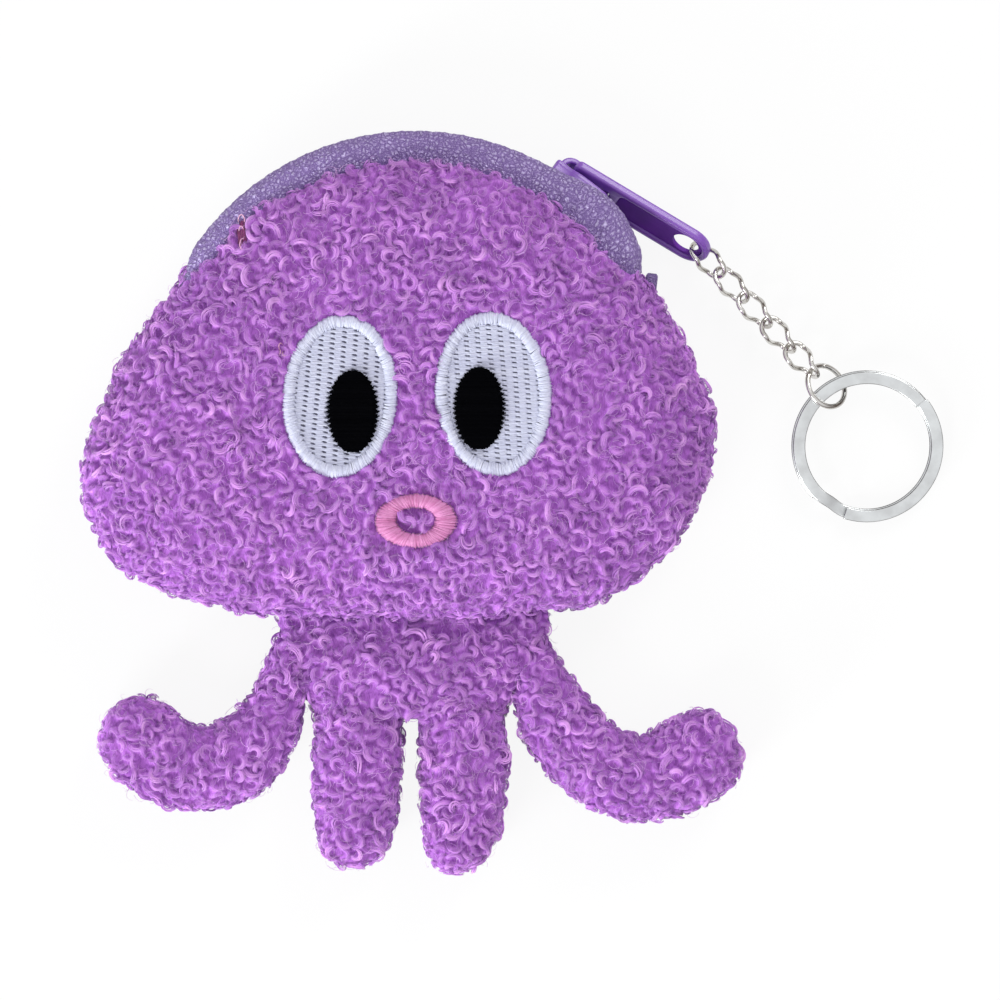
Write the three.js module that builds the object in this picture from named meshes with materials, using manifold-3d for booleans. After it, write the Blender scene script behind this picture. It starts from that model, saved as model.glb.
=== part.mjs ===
// A coin purse made as a plush octopus, lying on its back: a domed pouch of curly fleece with a zip over
// its crown, four stuffed tentacles on a short skirt, an embroidered face, and a chain with a split ring.
// Millimetres. +X is to the right of the face, +Y towards the crown, +Z up off the table.
// The origin is the centre of the zip's arc, on the table.
import * as THREE from "three";
import { mergeVertices } from "three/addons/utils/BufferGeometryUtils.js";
import Module from "manifold-3d";

const degrees = Math.PI / 180;

// Clearances
const gap = 0.3; // between one sewn layer and the next, and at every seat
const running = 0.35; // round what slides or swings

// Head, seen from above
const rimRadius = 44; // silhouette of the rim along the zip
const zipRight = 29.8 * degrees;
const zipLeft = 147.4 * degrees;
const headLeft = -55.8;
const headRight = 50.2;
const widestLeft = -13.5; // how far down each side is widest
const widestRight = -7.5;
const headBottom = -36;
const bottomSag = 1.2; // bow of the bottom edge between the cheeks
const headCentre = new THREE.Vector2(-2.5, -2.14);

// Head, from the side
const seamHeight = 8; // the side seam and the zip's teeth above the table
const frontRise = 10.5; // face side, from the seam to the top of the pile
const plushThickness = 3;
const frontPadding = 1.8;
const backPadding = 1.3;
const liningThickness = 0.8;
const domeRound = 0.4;
const frontBlunt = 5; // a higher power keeps the panel flat further out
const backBlunt = 6;
const backFlat = 1.06; // above 1 the middle of the back lies flat on the table
const paddingShare = 0.78; // how far out the padding reaches
const liningInset = 4.5;
const aroundHead = 40;
const aroundInside = 20; // the layers under the plush are not seen

// Zip
const zipSteps = 24;
const teethRadius = rimRadius - 2.6; // centre line of the teeth from the arc's centre
const zipRoll = 30 * degrees; // the zip faces outwards and this much down
const tapeThickness = 0.7;
const tapeSlit = 1.7; // between the two tapes
const plushEdge = teethRadius - 2.1; // the plush stops here, and the tape shows beyond it
const tapeTurn = 4.6; // from the teeth to where the front tape folds inwards
const tapeTop = seamHeight + 5.2; // height of the front tape over the fold
const tapeInner = teethRadius - 4.8; // sewn edge of both tapes
const backTapeHeight = seamHeight - 4.1;
const toothPitch = 2.2;
const toothReach = 0.75; // a tooth's tip past the centre line
const toothRoot = 1.4;
const teethHalf = 2.4;
const teethHeight = 1.25;
const toothTip = 0.55;
const toothBase = 0.8;

// Slider
const sliderAngle = 52.3 * degrees; // where it stands with the zip closed
const sliderLength = 11;
const sliderHalf = 3.9;
const sliderTail = 3.4;
const plateThickness = 1.1;
const wedgeWidth = 1;
const bridgeWidth = 2.6;
const bridgeThickness = 1;
const bridgeFrom = -4.6;
const bridgeTo = 4.9;
const pinAlong = 2.6; // the pull's bar, from the middle of the slider

// Pull tab
const pullLength = 27.5;
const pullWidth = 8;
const pullThickness = 1.7;
const pullEdge = 0.35; // rounding of its long edges
const pullSwing = 8 * degrees; // how far it stands off the slider at rest
const holeRadius = 2.35;
const holeRim = 1.9; // beyond the hole at the free end
const windowLength = 7;

// Chain and rings
const chainHeading = -46.8 * degrees;
const chainEndHeight = 2.9;
const chainStart = 1.3; // the first link's wire, from the middle of the pull's hole
const chainAside = 0.75; // the first link's middle, from the pull's, to clear its rim on both sides
const wire = 0.9;
const linkLength = 7.9;
const linkWidth = 4.5;
const linkRolls = [-46, -36, -28, -22, -20].map((roll) => roll * degrees);
const jumpDiameter = 8.2;
const jumpTilt = -39 * degrees;
const splitDiameter = 25;
const splitBand = 2;
const splitTurn = 0.75; // thickness of each of its two turns
const splitSlit = 0.45;
const splitAside = 0.5; // the band's middle, past the middle of the jump ring
const splitHeading = -55.5 * degrees; // from the jump ring to the split ring's centre
const kinkAt = 238 * degrees;
const kinkSpan = 24 * degrees;

// Skirt and tentacles
const limbHeight = 5.6; // middle of every limb above the table
const limbSides = 10;
const limbCover = 1.6; // plush of a limb
const limbHem = 2.6; // half thickness where a limb is sewn on
const limbBelly = 5.2; // half thickness of its fattest part
const slotAt = 0.35; // the open root of a cover, from its end, and half its height
const slotHalf = 0.55;
const neckHeight = 7;
const neckHem = 3;
const skirtTop = headBottom - bottomSag - gap - 0.2;
const skirtTopLeft = -23;
const skirtTopRight = 22.5;
const skirtBottomLeft = -17.6;
const skirtBottomRight = 15.9;
const skirtBottom = -51.6;
const legLength = 27.2; // from the skirt to the tip of the longest leg

// Face
const pressed = 1.2; // how deep the stitches press the pile down
const borderWidth = 2;
const borderTop = 0; // over the pile around it
const fillTop = -0.45;
const pupilTop = 0.35;
const stitchRound = 0.3;
const eyes = [
  { side: "left", at: [-12.2, 0.3], half: [9.35, 13.35], lean: -4.5 * degrees, pupilAt: [-10.1, -2.2] },
  { side: "right", at: [12.9, 0.7], half: [9.5, 13.45], lean: 4 * degrees, pupilAt: [10.6, -1.7] },
];
const pupilHalf = [4.2, 6.6];
const mouthAt = [0.2, -20.1];
const mouthHalf = [6.75, 4.4];
const mouthBorder = 3.2;

const wasm = await Module();
wasm.setup();

// A closed geometry as a solid for cutting and joining.
function solidOf(geometry) {
  const bare = geometry.index ? geometry.toNonIndexed() : geometry.clone();
  bare.deleteAttribute("normal");
  bare.deleteAttribute("uv");
  const merged = mergeVertices(bare, 1e-4);
  return new wasm.Manifold(
    new wasm.Mesh({
      numProp: 3,
      vertProperties: new Float32Array(merged.attributes.position.array),
      triVerts: new Uint32Array(merged.index.array),
    }),
  );
}

function geometryOf(solid) {
  const mesh = solid.getMesh();
  const geometry = new THREE.BufferGeometry();
  geometry.setAttribute("position", new THREE.BufferAttribute(mesh.vertProperties, 3));
  geometry.setIndex(new THREE.BufferAttribute(mesh.triVerts, 1));
  return geometry;
}

function cut(geometry, ...cutters) {
  return geometryOf(cutters.reduce((solid, cutter) => solid.subtract(solidOf(cutter)), solidOf(geometry)));
}

function join(geometry, ...others) {
  return geometryOf(others.reduce((solid, other) => solid.add(solidOf(other)), solidOf(geometry)));
}

// Swaps each triangle's corners if the closed geometry is inside out.
function facingOut(geometry) {
  const [a, b, c] = [new THREE.Vector3(), new THREE.Vector3(), new THREE.Vector3()];
  const { index, attributes } = geometry;
  let volume = 0;
  for (let i = 0; i < index.count; i += 3) {
    a.fromBufferAttribute(attributes.position, index.getX(i));
    b.fromBufferAttribute(attributes.position, index.getX(i + 1));
    c.fromBufferAttribute(attributes.position, index.getX(i + 2));
    volume += a.dot(b.cross(c));
  }
  if (volume > 0) return geometry;
  for (let i = 0; i < index.count; i += 3) {
    const second = index.getX(i + 1);
    index.setX(i + 1, index.getX(i + 2));
    index.setX(i + 2, second);
  }
  return geometry;
}

// Joins rings of points into one closed skin. A ring of one point closes an end, and so does a flat ring,
// whose triangles may be given. A looped skin joins its last ring to its first.
function skin(rings, { looped = false, endFaces = null } = {}) {
  const starts = [];
  const points = [];
  for (const ring of rings) {
    starts.push(points.length);
    points.push(...ring);
  }
  const faces = [];
  const pairs = looped ? rings.length : rings.length - 1;
  for (let k = 0; k < pairs; k++) {
    const next = (k + 1) % rings.length;
    const [a, b] = [starts[k], starts[next]];
    const [m, n] = [rings[k].length, rings[next].length];
    for (let i = 0; i < Math.max(m, n); i++) {
      const j = (i + 1) % Math.max(m, n);
      if (m === 1) faces.push(a, b + j, b + i);
      else if (n === 1) faces.push(a + i, a + j, b);
      else faces.push(a + i, a + j, b + j, a + i, b + j, b + i);
    }
  }
  if (!looped) {
    const last = rings.length - 1;
    const fan = (count) => Array.from({ length: count - 2 }, (_, i) => [0, i + 1, i + 2]);
    const first = endFaces ?? fan(rings[0].length);
    const final = endFaces ?? fan(rings[last].length);
    if (rings[0].length > 1) for (const [i, j, k] of first) faces.push(i, k, j);
    if (rings[last].length > 1) {
      for (const [i, j, k] of final) faces.push(...[i, j, k].map((v) => starts[last] + v));
    }
  }
  const geometry = new THREE.BufferGeometry().setFromPoints(points);
  geometry.setIndex(faces);
  return facingOut(geometry);
}

const polar = (radius, angle) => new THREE.Vector2(radius * Math.cos(angle), radius * Math.sin(angle));

// Sweeps a flat section, whose points are a radius and a height, round the Z axis from one angle to another.
function sweepArc(section, from, to, steps) {
  const rings = [];
  for (let i = 0; i <= steps; i++) {
    const angle = THREE.MathUtils.lerp(from, to, i / steps);
    rings.push(section.map(([r, z]) => new THREE.Vector3(r * Math.cos(angle), r * Math.sin(angle), z)));
  }
  const flat = section.map(([r, z]) => new THREE.Vector2(r, z));
  const turn = Math.sign(THREE.ShapeUtils.area(flat));
  const endFaces = THREE.ShapeUtils.triangulateShape(flat, []).map((face) => {
    const same = Math.sign(THREE.ShapeUtils.area(face.map((i) => flat[i]))) === turn;
    return same ? face : face.reverse();
  });
  return skin(rings, { endFaces });
}

// A strip of even thickness along a line of [radius, height] points.
function stripSection(line, thickness) {
  const at = line.map(([r, z]) => new THREE.Vector2(r, z));
  const sides = [[], []];
  at.forEach((point, i) => {
    const before = at[Math.max(i - 1, 0)];
    const after = at[Math.min(i + 1, at.length - 1)];
    const along = after.clone().sub(before).normalize();
    const across = new THREE.Vector2(-along.y, along.x).multiplyScalar(thickness / 2);
    sides[0].push([point.x + across.x, point.y + across.y]);
    sides[1].unshift([point.x - across.x, point.y - across.y]);
  });
  return [...sides[0], ...sides[1]];
}

// A tube of round section along a list of points. A looped tube closes on itself.
function tube(points, radius, sides, looped) {
  const count = points.length;
  const rings = points.map((point, i) => {
    const before = points[looped ? (i + count - 1) % count : Math.max(i - 1, 0)];
    const after = points[looped ? (i + 1) % count : Math.min(i + 1, count - 1)];
    const along = after.clone().sub(before).normalize();
    const up = point.up ?? new THREE.Vector3(0, 0, 1);
    const across = new THREE.Vector3().crossVectors(along, up).normalize();
    const over = new THREE.Vector3().crossVectors(across, along);
    return Array.from({ length: sides }, (_, k) => {
      const turn = (k / sides) * 2 * Math.PI;
      return point
        .clone()
        .addScaledVector(across, radius * Math.cos(turn))
        .addScaledVector(over, radius * Math.sin(turn));
    });
  });
  return skin(rings, { looped });
}

// Head outline: the zip's arc over the crown, then down the left cheek, along the bottom and up the right.
function headOutline() {
  const right = polar(rimRadius, zipRight);
  const left = polar(rimRadius, zipLeft);
  const path = new THREE.Path();
  path.absarc(0, 0, rimRadius, zipRight, zipLeft, false);
  path.bezierCurveTo(
    left.x - 11 * Math.sin(zipLeft),
    left.y + 11 * Math.cos(zipLeft),
    headLeft,
    widestLeft + 13,
    headLeft,
    widestLeft,
  );
  path.bezierCurveTo(headLeft, widestLeft - 15.5, headLeft + 18, headBottom, skirtTopLeft, headBottom);
  path.quadraticCurveTo(0, headBottom - 2 * bottomSag, skirtTopRight, headBottom);
  path.bezierCurveTo(
    headRight - 13.5,
    headBottom + 1.5,
    headRight,
    widestRight - 13,
    headRight,
    widestRight,
  );
  path.bezierCurveTo(
    headRight,
    widestRight + 10,
    right.x + 8 * Math.sin(zipRight),
    right.y - 8 * Math.cos(zipRight),
    right.x,
    right.y,
  );
  return path;
}

const rim = headOutline()
  .getSpacedPoints(360)
  .slice(1)
  .map((point) => point.sub(headCentre))
  .map((point) => ({ angle: point.angle(), reach: point.length() }))
  .sort((one, other) => one.angle - other.angle);

// How far the rim lies from the head's centre in a direction.
function rimReach(direction) {
  const angle = THREE.MathUtils.euclideanModulo(direction, 2 * Math.PI);
  const found = rim.findIndex((point) => point.angle > angle);
  const after = rim[found < 0 ? 0 : found];
  const before = rim[found <= 0 ? rim.length - 1 : found - 1];
  const span = THREE.MathUtils.euclideanModulo(after.angle - before.angle, 2 * Math.PI);
  const part = THREE.MathUtils.euclideanModulo(angle - before.angle, 2 * Math.PI);
  return THREE.MathUtils.lerp(before.reach, after.reach, part / span);
}

// The two domed sides of the head. A layer lies inset from the rim and rises less by its depth.
const front = { up: 1, rise: frontRise, blunt: frontBlunt, crown: 1 };
const back = { up: -1, rise: seamHeight, blunt: backBlunt, crown: backFlat };

function domeHeight(side, depth, share) {
  const swell = side.crown * (1 - Math.min(share, 1) ** side.blunt) ** domeRound;
  return seamHeight + side.up * (gap / 2 + (side.rise - gap / 2 - depth) * Math.min(1, swell));
}

function domeRing(side, inset, depth, share, around = aroundHead) {
  if (share === 0) return [new THREE.Vector3(headCentre.x, headCentre.y, domeHeight(side, depth, 0))];
  return Array.from({ length: around }, (_, i) => {
    const angle = (i / around) * 2 * Math.PI;
    const at = polar((rimReach(angle) - inset) * share, angle).add(headCentre);
    return new THREE.Vector3(at.x, at.y, domeHeight(side, depth, share));
  });
}

const domeShares = [0, 0.32, 0.56, 0.74, 0.86, 0.94, 0.985, 1];

// A plush panel: a dish of even thickness, open towards the other panel.
function panel(side, cutter) {
  const outer = domeShares.map((share) => domeRing(side, 0, 0, share));
  const inner = domeShares.map((share) => domeRing(side, plushThickness, plushThickness, share));
  return cut(skin([...outer, ...inner.reverse()]), cutter);
}

// Fibre padding under a panel, which stops short of the zip.
function padding(side, thickness) {
  const depth = plushThickness + gap;
  const shares = [0, 0.35, 0.58, 0.7, paddingShare];
  const layer = (under) => shares.map((share) => domeRing(side, depth, under, share, aroundInside));
  const outer = layer(depth + 0.1);
  const inner = layer(depth + thickness);
  return skin([...outer, ...inner.reverse()]);
}

// The lining is a thin bag with its mouth along the zip.
function lining() {
  const shares = [0, 0.4, 0.7, 0.88, 0.97];
  const depths = {
    front: plushThickness + frontPadding + 2 * gap,
    back: plushThickness + backPadding + 2 * gap,
  };
  const shell = (more) => {
    const inset = liningInset + more;
    const half = (side, depth) =>
      shares.map((share) => domeRing(side, inset, depth + more, share, aroundInside));
    const seam = domeRing(front, inset, 0, 1, aroundInside).map((point) => point.setZ(seamHeight));
    return skin([...half(front, depths.front), seam, ...half(back, depths.back).reverse()]);
  };
  const mouth = [
    [tapeInner + 0.6, 0],
    [rimRadius + 5, 0],
    [rimRadius + 5, seamHeight + frontRise],
    [tapeInner + 0.6, seamHeight + frontRise],
  ];
  const short = 2 * degrees;
  return cut(shell(0), shell(liningThickness), sweepArc(mouth, zipRight + short, zipLeft - short, zipSteps));
}

// Zip. Its own frame at an angle has X along the teeth, anticlockwise, Y across the tapes towards the
// front, and Z out of the zip.
function zipFrame(angle) {
  const along = new THREE.Vector3(-Math.sin(angle), Math.cos(angle), 0);
  const outwards = new THREE.Vector3(Math.cos(angle), Math.sin(angle), 0);
  const across = outwards.clone().multiplyScalar(Math.sin(zipRoll));
  across.z = Math.cos(zipRoll);
  const off = outwards.multiplyScalar(Math.cos(zipRoll));
  off.z = -Math.sin(zipRoll);
  const frame = new THREE.Matrix4().makeBasis(along, across, off);
  return frame.setPosition(teethRadius * Math.cos(angle), teethRadius * Math.sin(angle), seamHeight);
}

// A point of the zip's frame as [radius, height].
function zipSection(across, off) {
  const r = teethRadius + across * Math.sin(zipRoll) + off * Math.cos(zipRoll);
  return [r, seamHeight + across * Math.cos(zipRoll) - off * Math.sin(zipRoll)];
}

const frontTape = [
  [tapeInner, tapeTop - 0.45],
  [plushEdge + 0.3, tapeTop - 0.1],
  [teethRadius + 0.3, tapeTop],
  [teethRadius + 1.6, tapeTop - 0.45],
  zipSection(tapeTurn, 0),
  zipSection(tapeSlit / 2, 0),
];

const backTape = [
  [tapeInner, backTapeHeight - 0.15],
  [plushEdge - 1, backTapeHeight - 0.25],
  zipSection(-tapeTurn - 0.5, 0),
  zipSection(-tapeSlit / 2, 0),
];

// What each panel leaves free for the tape, the teeth and the slider.
function zipNotch(side) {
  const far = side.up * 40;
  const tape = side.up > 0 ? frontTape : backTape;
  const clear = side.up * (tapeThickness / 2 + gap + 0.1);
  const section = [
    [plushEdge, seamHeight + far],
    [plushEdge, tape[1][1] + clear],
    [tapeInner - gap, tape[0][1] + clear],
    [tapeInner - gap, seamHeight],
    [rimRadius + 10, seamHeight],
    [rimRadius + 10, seamHeight + far],
  ];
  return sweepArc(section, zipRight, zipLeft, zipSteps);
}

const zipInset = gap / rimRadius; // the tapes stop this angle short of the side seams

function tape(line) {
  return sweepArc(stripSection(line, tapeThickness), zipRight + zipInset, zipLeft - zipInset, zipSteps);
}

const teethFloor = tapeThickness / 2 + gap; // the teeth lie on the outside of the tapes
const teethFrom = sliderAngle - 0.5 / teethRadius;
const teethTo = zipLeft - 4.2 / teethRadius;

// One row of teeth on its cord. The two rows stand half a pitch apart and mesh.
function toothRow(up, shift) {
  const count = Math.floor(((teethTo - teethFrom) * teethRadius) / toothPitch) - 1;
  const ring = (run, reach) => {
    const frame = zipFrame(teethFrom + run / teethRadius);
    const corners = [
      [teethHalf, teethFloor],
      [teethHalf, teethFloor + 0.8 * teethHeight],
      [toothRoot, teethFloor + teethHeight],
      [reach, teethFloor + 0.9 * teethHeight],
      [reach, teethFloor],
    ];
    return corners.map(([y, z]) => new THREE.Vector3(0, up * y, z).applyMatrix4(frame));
  };
  const rings = [];
  for (let i = 0; i < count; i++) {
    const middle = (i + 0.5 + shift) * toothPitch;
    rings.push(ring(middle - toothBase / 2, toothRoot - 0.05));
    rings.push(ring(middle - toothTip / 2, -toothReach));
    rings.push(ring(middle + toothTip / 2, -toothReach));
    rings.push(ring(middle + toothBase / 2, toothRoot - 0.05));
  }
  return skin(rings);
}

// A small block clamped over a tape's edge, with chamfered corners, in the zip's frame.
function stop(from, to, low, high) {
  const shape = new THREE.Shape();
  const corner = 0.4;
  shape.moveTo(from + corner, low);
  shape.lineTo(to - corner, low);
  shape.lineTo(to, low + corner);
  shape.lineTo(to, high - corner);
  shape.lineTo(to - corner, high);
  shape.lineTo(from + corner, high);
  shape.lineTo(from, high - corner);
  shape.lineTo(from, low + corner);
  const block = new THREE.ExtrudeGeometry(shape, { depth: teethHeight, bevelEnabled: false });
  return block.translate(0, 0, teethFloor);
}

// Slider, in the zip's frame at its middle. Its channel is wide enough for the arc it follows.
const arcSag = sliderLength ** 2 / (8 * teethRadius);
const channelFloor = -tapeThickness / 2 - running - arcSag / 2;
const channelRoof = teethFloor + teethHeight + running + arcSag / 2;
const slotRoof = tapeThickness / 2 + running + arcSag / 2;
const sliderTop = channelRoof + plateThickness;
const pinHeight = sliderTop + running + pullThickness / 2;
const bridgeHeight = pinHeight + pullThickness / 2 + running + bridgeThickness;

// The plates' outline, wide at the nose, where the tapes come in apart, and narrower at the tail.
function plateShape() {
  const half = sliderLength / 2;
  const shape = new THREE.Shape();
  shape.moveTo(-half, -1.2);
  shape.quadraticCurveTo(-half, -sliderHalf, -half + 2.2, -sliderHalf);
  shape.lineTo(-0.5, -sliderHalf);
  shape.quadraticCurveTo(1.5, -sliderHalf, 2.5, -sliderTail);
  shape.lineTo(half - 0.6, -sliderTail);
  shape.lineTo(half, -sliderTail + 0.6);
  shape.lineTo(half, sliderTail - 0.6);
  shape.lineTo(half - 0.6, sliderTail);
  shape.lineTo(2.5, sliderTail);
  shape.quadraticCurveTo(1.5, sliderHalf, -0.5, sliderHalf);
  shape.lineTo(-half + 2.2, sliderHalf);
  shape.quadraticCurveTo(-half, sliderHalf, -half, 1.2);
  shape.quadraticCurveTo(-half - 0.4, 0, -half, -1.2);
  return shape;
}

function slab(shape, low, high, curveSegments = 3) {
  const solid = new THREE.ExtrudeGeometry(shape, { depth: high - low, bevelEnabled: false, curveSegments });
  return solid.translate(0, 0, low);
}

function box(x, y, z) {
  const solid = new THREE.BoxGeometry(x[1] - x[0], y[1] - y[0], z[1] - z[0]);
  return solid.translate((x[0] + x[1]) / 2, (y[0] + y[1]) / 2, (z[0] + z[1]) / 2);
}

function slider() {
  const half = sliderLength / 2;
  const whole = slab(plateShape(), channelFloor - plateThickness, sliderTop);
  const reach = half + 1;
  const inner = teethHalf + running;
  const narrow = teethHalf + arcSag / 2 + 0.1;
  const channel = new THREE.Shape();
  channel.moveTo(-reach, -inner);
  channel.lineTo(0, -inner);
  channel.lineTo(3, -narrow);
  channel.lineTo(reach, -narrow);
  channel.lineTo(reach, narrow);
  channel.lineTo(3, narrow);
  channel.lineTo(0, inner);
  channel.lineTo(-reach, inner);
  const slots = box([-reach, reach], [-sliderHalf - 1, sliderHalf + 1], [channelFloor, slotRoof]);
  const wedge = new THREE.Shape();
  wedge.moveTo(-half, -wedgeWidth / 2);
  wedge.lineTo(-half + 1.6, -wedgeWidth / 2);
  wedge.lineTo(-half + 4, 0);
  wedge.lineTo(-half + 1.6, wedgeWidth / 2);
  wedge.lineTo(-half, wedgeWidth / 2);
  return join(
    cut(whole, slab(channel, channelFloor, channelRoof), slots),
    slab(wedge, channelFloor - 0.1, channelRoof + 0.1),
    bridge(),
  );
}

// The arch over the top plate that holds the pull's bar.
function bridge() {
  const low = sliderTop - 0.2;
  const under = bridgeHeight - bridgeThickness;
  const shape = new THREE.Shape();
  shape.moveTo(bridgeFrom, low);
  shape.lineTo(bridgeFrom, under - 0.6);
  shape.quadraticCurveTo(bridgeFrom, bridgeHeight, bridgeFrom + 2, bridgeHeight);
  shape.lineTo(bridgeTo - 2, bridgeHeight);
  shape.quadraticCurveTo(bridgeTo, bridgeHeight, bridgeTo, under - 0.6);
  shape.lineTo(bridgeTo, low);
  shape.lineTo(bridgeTo - bridgeThickness, low);
  shape.lineTo(bridgeTo - bridgeThickness, under - 0.7);
  shape.lineTo(bridgeTo - bridgeThickness - 0.7, under);
  shape.lineTo(bridgeFrom + bridgeThickness + 0.7, under);
  shape.lineTo(bridgeFrom + bridgeThickness, under - 0.7);
  shape.lineTo(bridgeFrom + bridgeThickness, low);
  const solid = new THREE.ExtrudeGeometry(shape, {
    depth: bridgeWidth,
    bevelEnabled: false,
    curveSegments: 4,
  });
  return solid.rotateX(Math.PI / 2).translate(0, bridgeWidth / 2, 0);
}

// Pull tab, in a frame at its bar with X towards its free end and Y along the bar.
const pullBar = pullThickness / 2;
const pullTip = pullLength - pullBar;
const holeAt = pullTip - holeRim - holeRadius;

function pull() {
  const half = pullWidth / 2;
  const corner = 1;
  const shape = new THREE.Shape();
  shape.moveTo(0, -half + corner);
  shape.quadraticCurveTo(0, -half, corner, -half);
  shape.lineTo(pullTip - half, -half);
  shape.absarc(pullTip - half, 0, half, -Math.PI / 2, Math.PI / 2, false);
  shape.lineTo(corner, half);
  shape.quadraticCurveTo(0, half, 0, half - corner);
  const hole = new THREE.Path();
  hole.absarc(holeAt, 0, holeRadius, 0, 2 * Math.PI, true);
  const side = bridgeWidth / 2 + running;
  const cornerCut = 0.4;
  const opening = new THREE.Path();
  opening.moveTo(pullBar, -side);
  opening.lineTo(pullBar, side);
  opening.lineTo(pullBar + windowLength - cornerCut, side);
  opening.lineTo(pullBar + windowLength, side - cornerCut);
  opening.lineTo(pullBar + windowLength, cornerCut - side);
  opening.lineTo(pullBar + windowLength - cornerCut, -side);
  shape.holes.push(hole, opening);
  const plate = new THREE.ExtrudeGeometry(shape, {
    depth: pullThickness - 2 * pullEdge,
    bevelThickness: pullEdge,
    bevelSize: pullEdge,
    bevelOffset: -pullEdge,
    bevelSegments: 1,
    curveSegments: 9,
  });
  plate.translate(0, 0, pullEdge - pullThickness / 2);
  const bar = new THREE.CylinderGeometry(pullBar, pullBar, pullWidth - 2 * corner, 10);
  return join(plate, bar);
}

// A chain link: an oval of wire whose far end is twisted a quarter turn. X runs from its near end, and Y
// is across its near end.
const linkRun = linkLength - linkWidth; // between the centres of its two ends
const linkHalf = (linkWidth - wire) / 2;
const linkPitch = linkLength - 2 * wire - gap - 0.06;

function chainLink() {
  const perEnd = 7;
  const perSide = 4;
  const flat = [];
  for (let i = 0; i <= perEnd; i++) {
    const turn = Math.PI / 2 + (i / perEnd) * Math.PI;
    flat.push([linkHalf * Math.cos(turn), linkHalf * Math.sin(turn)]);
  }
  for (let i = 1; i < perSide; i++) flat.push([(linkRun * i) / perSide, -linkHalf]);
  for (let i = 0; i <= perEnd; i++) {
    const turn = -Math.PI / 2 + (i / perEnd) * Math.PI;
    flat.push([linkRun + linkHalf * Math.cos(turn), linkHalf * Math.sin(turn)]);
  }
  for (let i = perSide - 1; i > 0; i--) flat.push([(linkRun * i) / perSide, linkHalf]);
  const points = flat.map(([x, y]) => {
    const twist = THREE.MathUtils.smoothstep(x, 0, linkRun) * (Math.PI / 2);
    const point = new THREE.Vector3(x, y * Math.cos(twist), y * Math.sin(twist));
    point.up = new THREE.Vector3(0, -Math.sin(twist), Math.cos(twist));
    return point;
  });
  return tube(points, wire / 2, 6, true).translate(linkHalf, 0, 0);
}

function jumpRing() {
  const radius = (jumpDiameter - wire) / 2;
  const points = Array.from({ length: 24 }, (_, i) => {
    const at = polar(radius, (i / 24) * 2 * Math.PI);
    return new THREE.Vector3(at.x, at.y, 0);
  });
  return tube(points, wire / 2, 6, true);
}

// Split ring: two turns of flat band that change over at one kink, where both ends lie.
function splitRing() {
  const middle = (splitDiameter - splitBand) / 2;
  const step = (splitTurn + splitSlit) / 2;
  const steps = 60;
  const from = kinkAt + kinkSpan / 2 + 2 * degrees;
  const sweep = 4 * Math.PI - kinkSpan - 4 * degrees;
  const height = (turned) => {
    const past = turned - (2 * Math.PI - kinkSpan - 2 * degrees);
    return step * (1 - 2 * THREE.MathUtils.smoothstep(past, 0, kinkSpan));
  };
  const turns = [];
  for (let i = 0; i <= steps; i++) turns.push((sweep * i) / steps);
  const start = 2 * Math.PI - kinkSpan - 2 * degrees;
  for (const share of [0.25, 0.5, 0.75]) turns.push(start + kinkSpan * share);
  turns.sort((one, other) => one - other);
  const rings = turns.map((turned) => {
    const z = height(turned);
    const section = [
      [middle - splitBand / 2, z - splitTurn / 2],
      [middle + splitBand / 2, z - splitTurn / 2],
      [middle + splitBand / 2, z + splitTurn / 2],
      [middle - splitBand / 2, z + splitTurn / 2],
    ];
    return section.map(([r, level]) => {
      const at = polar(r, from + turned);
      return new THREE.Vector3(at.x, at.y, level);
    });
  });
  printLeastGap("split ring", rings, turns);
  return skin(rings);
}

// The least distance between the corners of two turns that lie one over the other.
function printLeastGap(name, rings, turns) {
  let least = Infinity;
  rings.forEach((ring, i) => {
    rings.forEach((other, j) => {
      if (turns[j] - turns[i] < Math.PI / 2) return;
      for (const point of ring) {
        for (const match of other) least = Math.min(least, point.distanceTo(match));
      }
    });
  });
  console.log(name, "least gap to itself", least.toFixed(2), "mm");
}

// Limbs. A limb is given by its two sides, each a line of points seen from above, from the sewn root to
// the tip, where they meet.
function limbShape({ left, right }) {
  const curve = (side) => new THREE.SplineCurve(side.map(([x, y]) => new THREE.Vector2(x, y)));
  const sides = [curve(left), curve(right)];
  const samples = 80;
  const at = (share) => {
    const [one, other] = sides.map((side) => side.getPoint(share));
    const middle = one.clone().add(other).multiplyScalar(0.5);
    const across = other.clone().sub(one).normalize();
    return { middle, across, half: one.distanceTo(other) / 2 };
  };
  const run = [0];
  for (let i = 1; i <= samples; i++) {
    run.push(run[i - 1] + at(i / samples).middle.distanceTo(at((i - 1) / samples).middle));
  }
  const whole = run[samples];
  const widest = Math.max(...run.map((_, i) => at(i / samples).half));
  const along = (distance) => {
    const i = Math.max(1, run.findIndex((length) => length >= distance - 1e-9));
    return at((i - 1 + (distance - run[i - 1]) / (run[i] - run[i - 1])) / samples);
  };
  return { along, whole, widest };
}

// Half the thickness of a limb at a distance from its root: a half-round hem, then a swelling that goes
// down again with the width.
function limbHalf(distance, half, widest, hem, belly) {
  const sewn = Math.sqrt(hem ** 2 - Math.max(hem - distance, 0) ** 2);
  const swell = THREE.MathUtils.smoothstep(distance, hem, 4 * hem);
  const taper = Math.min(1, half / (0.8 * widest)) ** 0.6;
  return (sewn + (belly - hem) * swell) * (distance > hem ? taper : 1);
}

// A rounded section standing across a limb, fuller than an ellipse.
function limbRing(middle, across, half, thick, height, sides) {
  return Array.from({ length: sides }, (_, k) => {
    const turn = ((k + 0.5) / sides) * 2 * Math.PI;
    const out = half * Math.sign(Math.cos(turn)) * Math.abs(Math.cos(turn)) ** 0.7;
    const lift = thick * Math.sign(Math.sin(turn)) * Math.abs(Math.sin(turn)) ** 0.75;
    return new THREE.Vector3(middle.x + across.x * out, middle.y + across.y * out, height + lift);
  });
}

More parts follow.
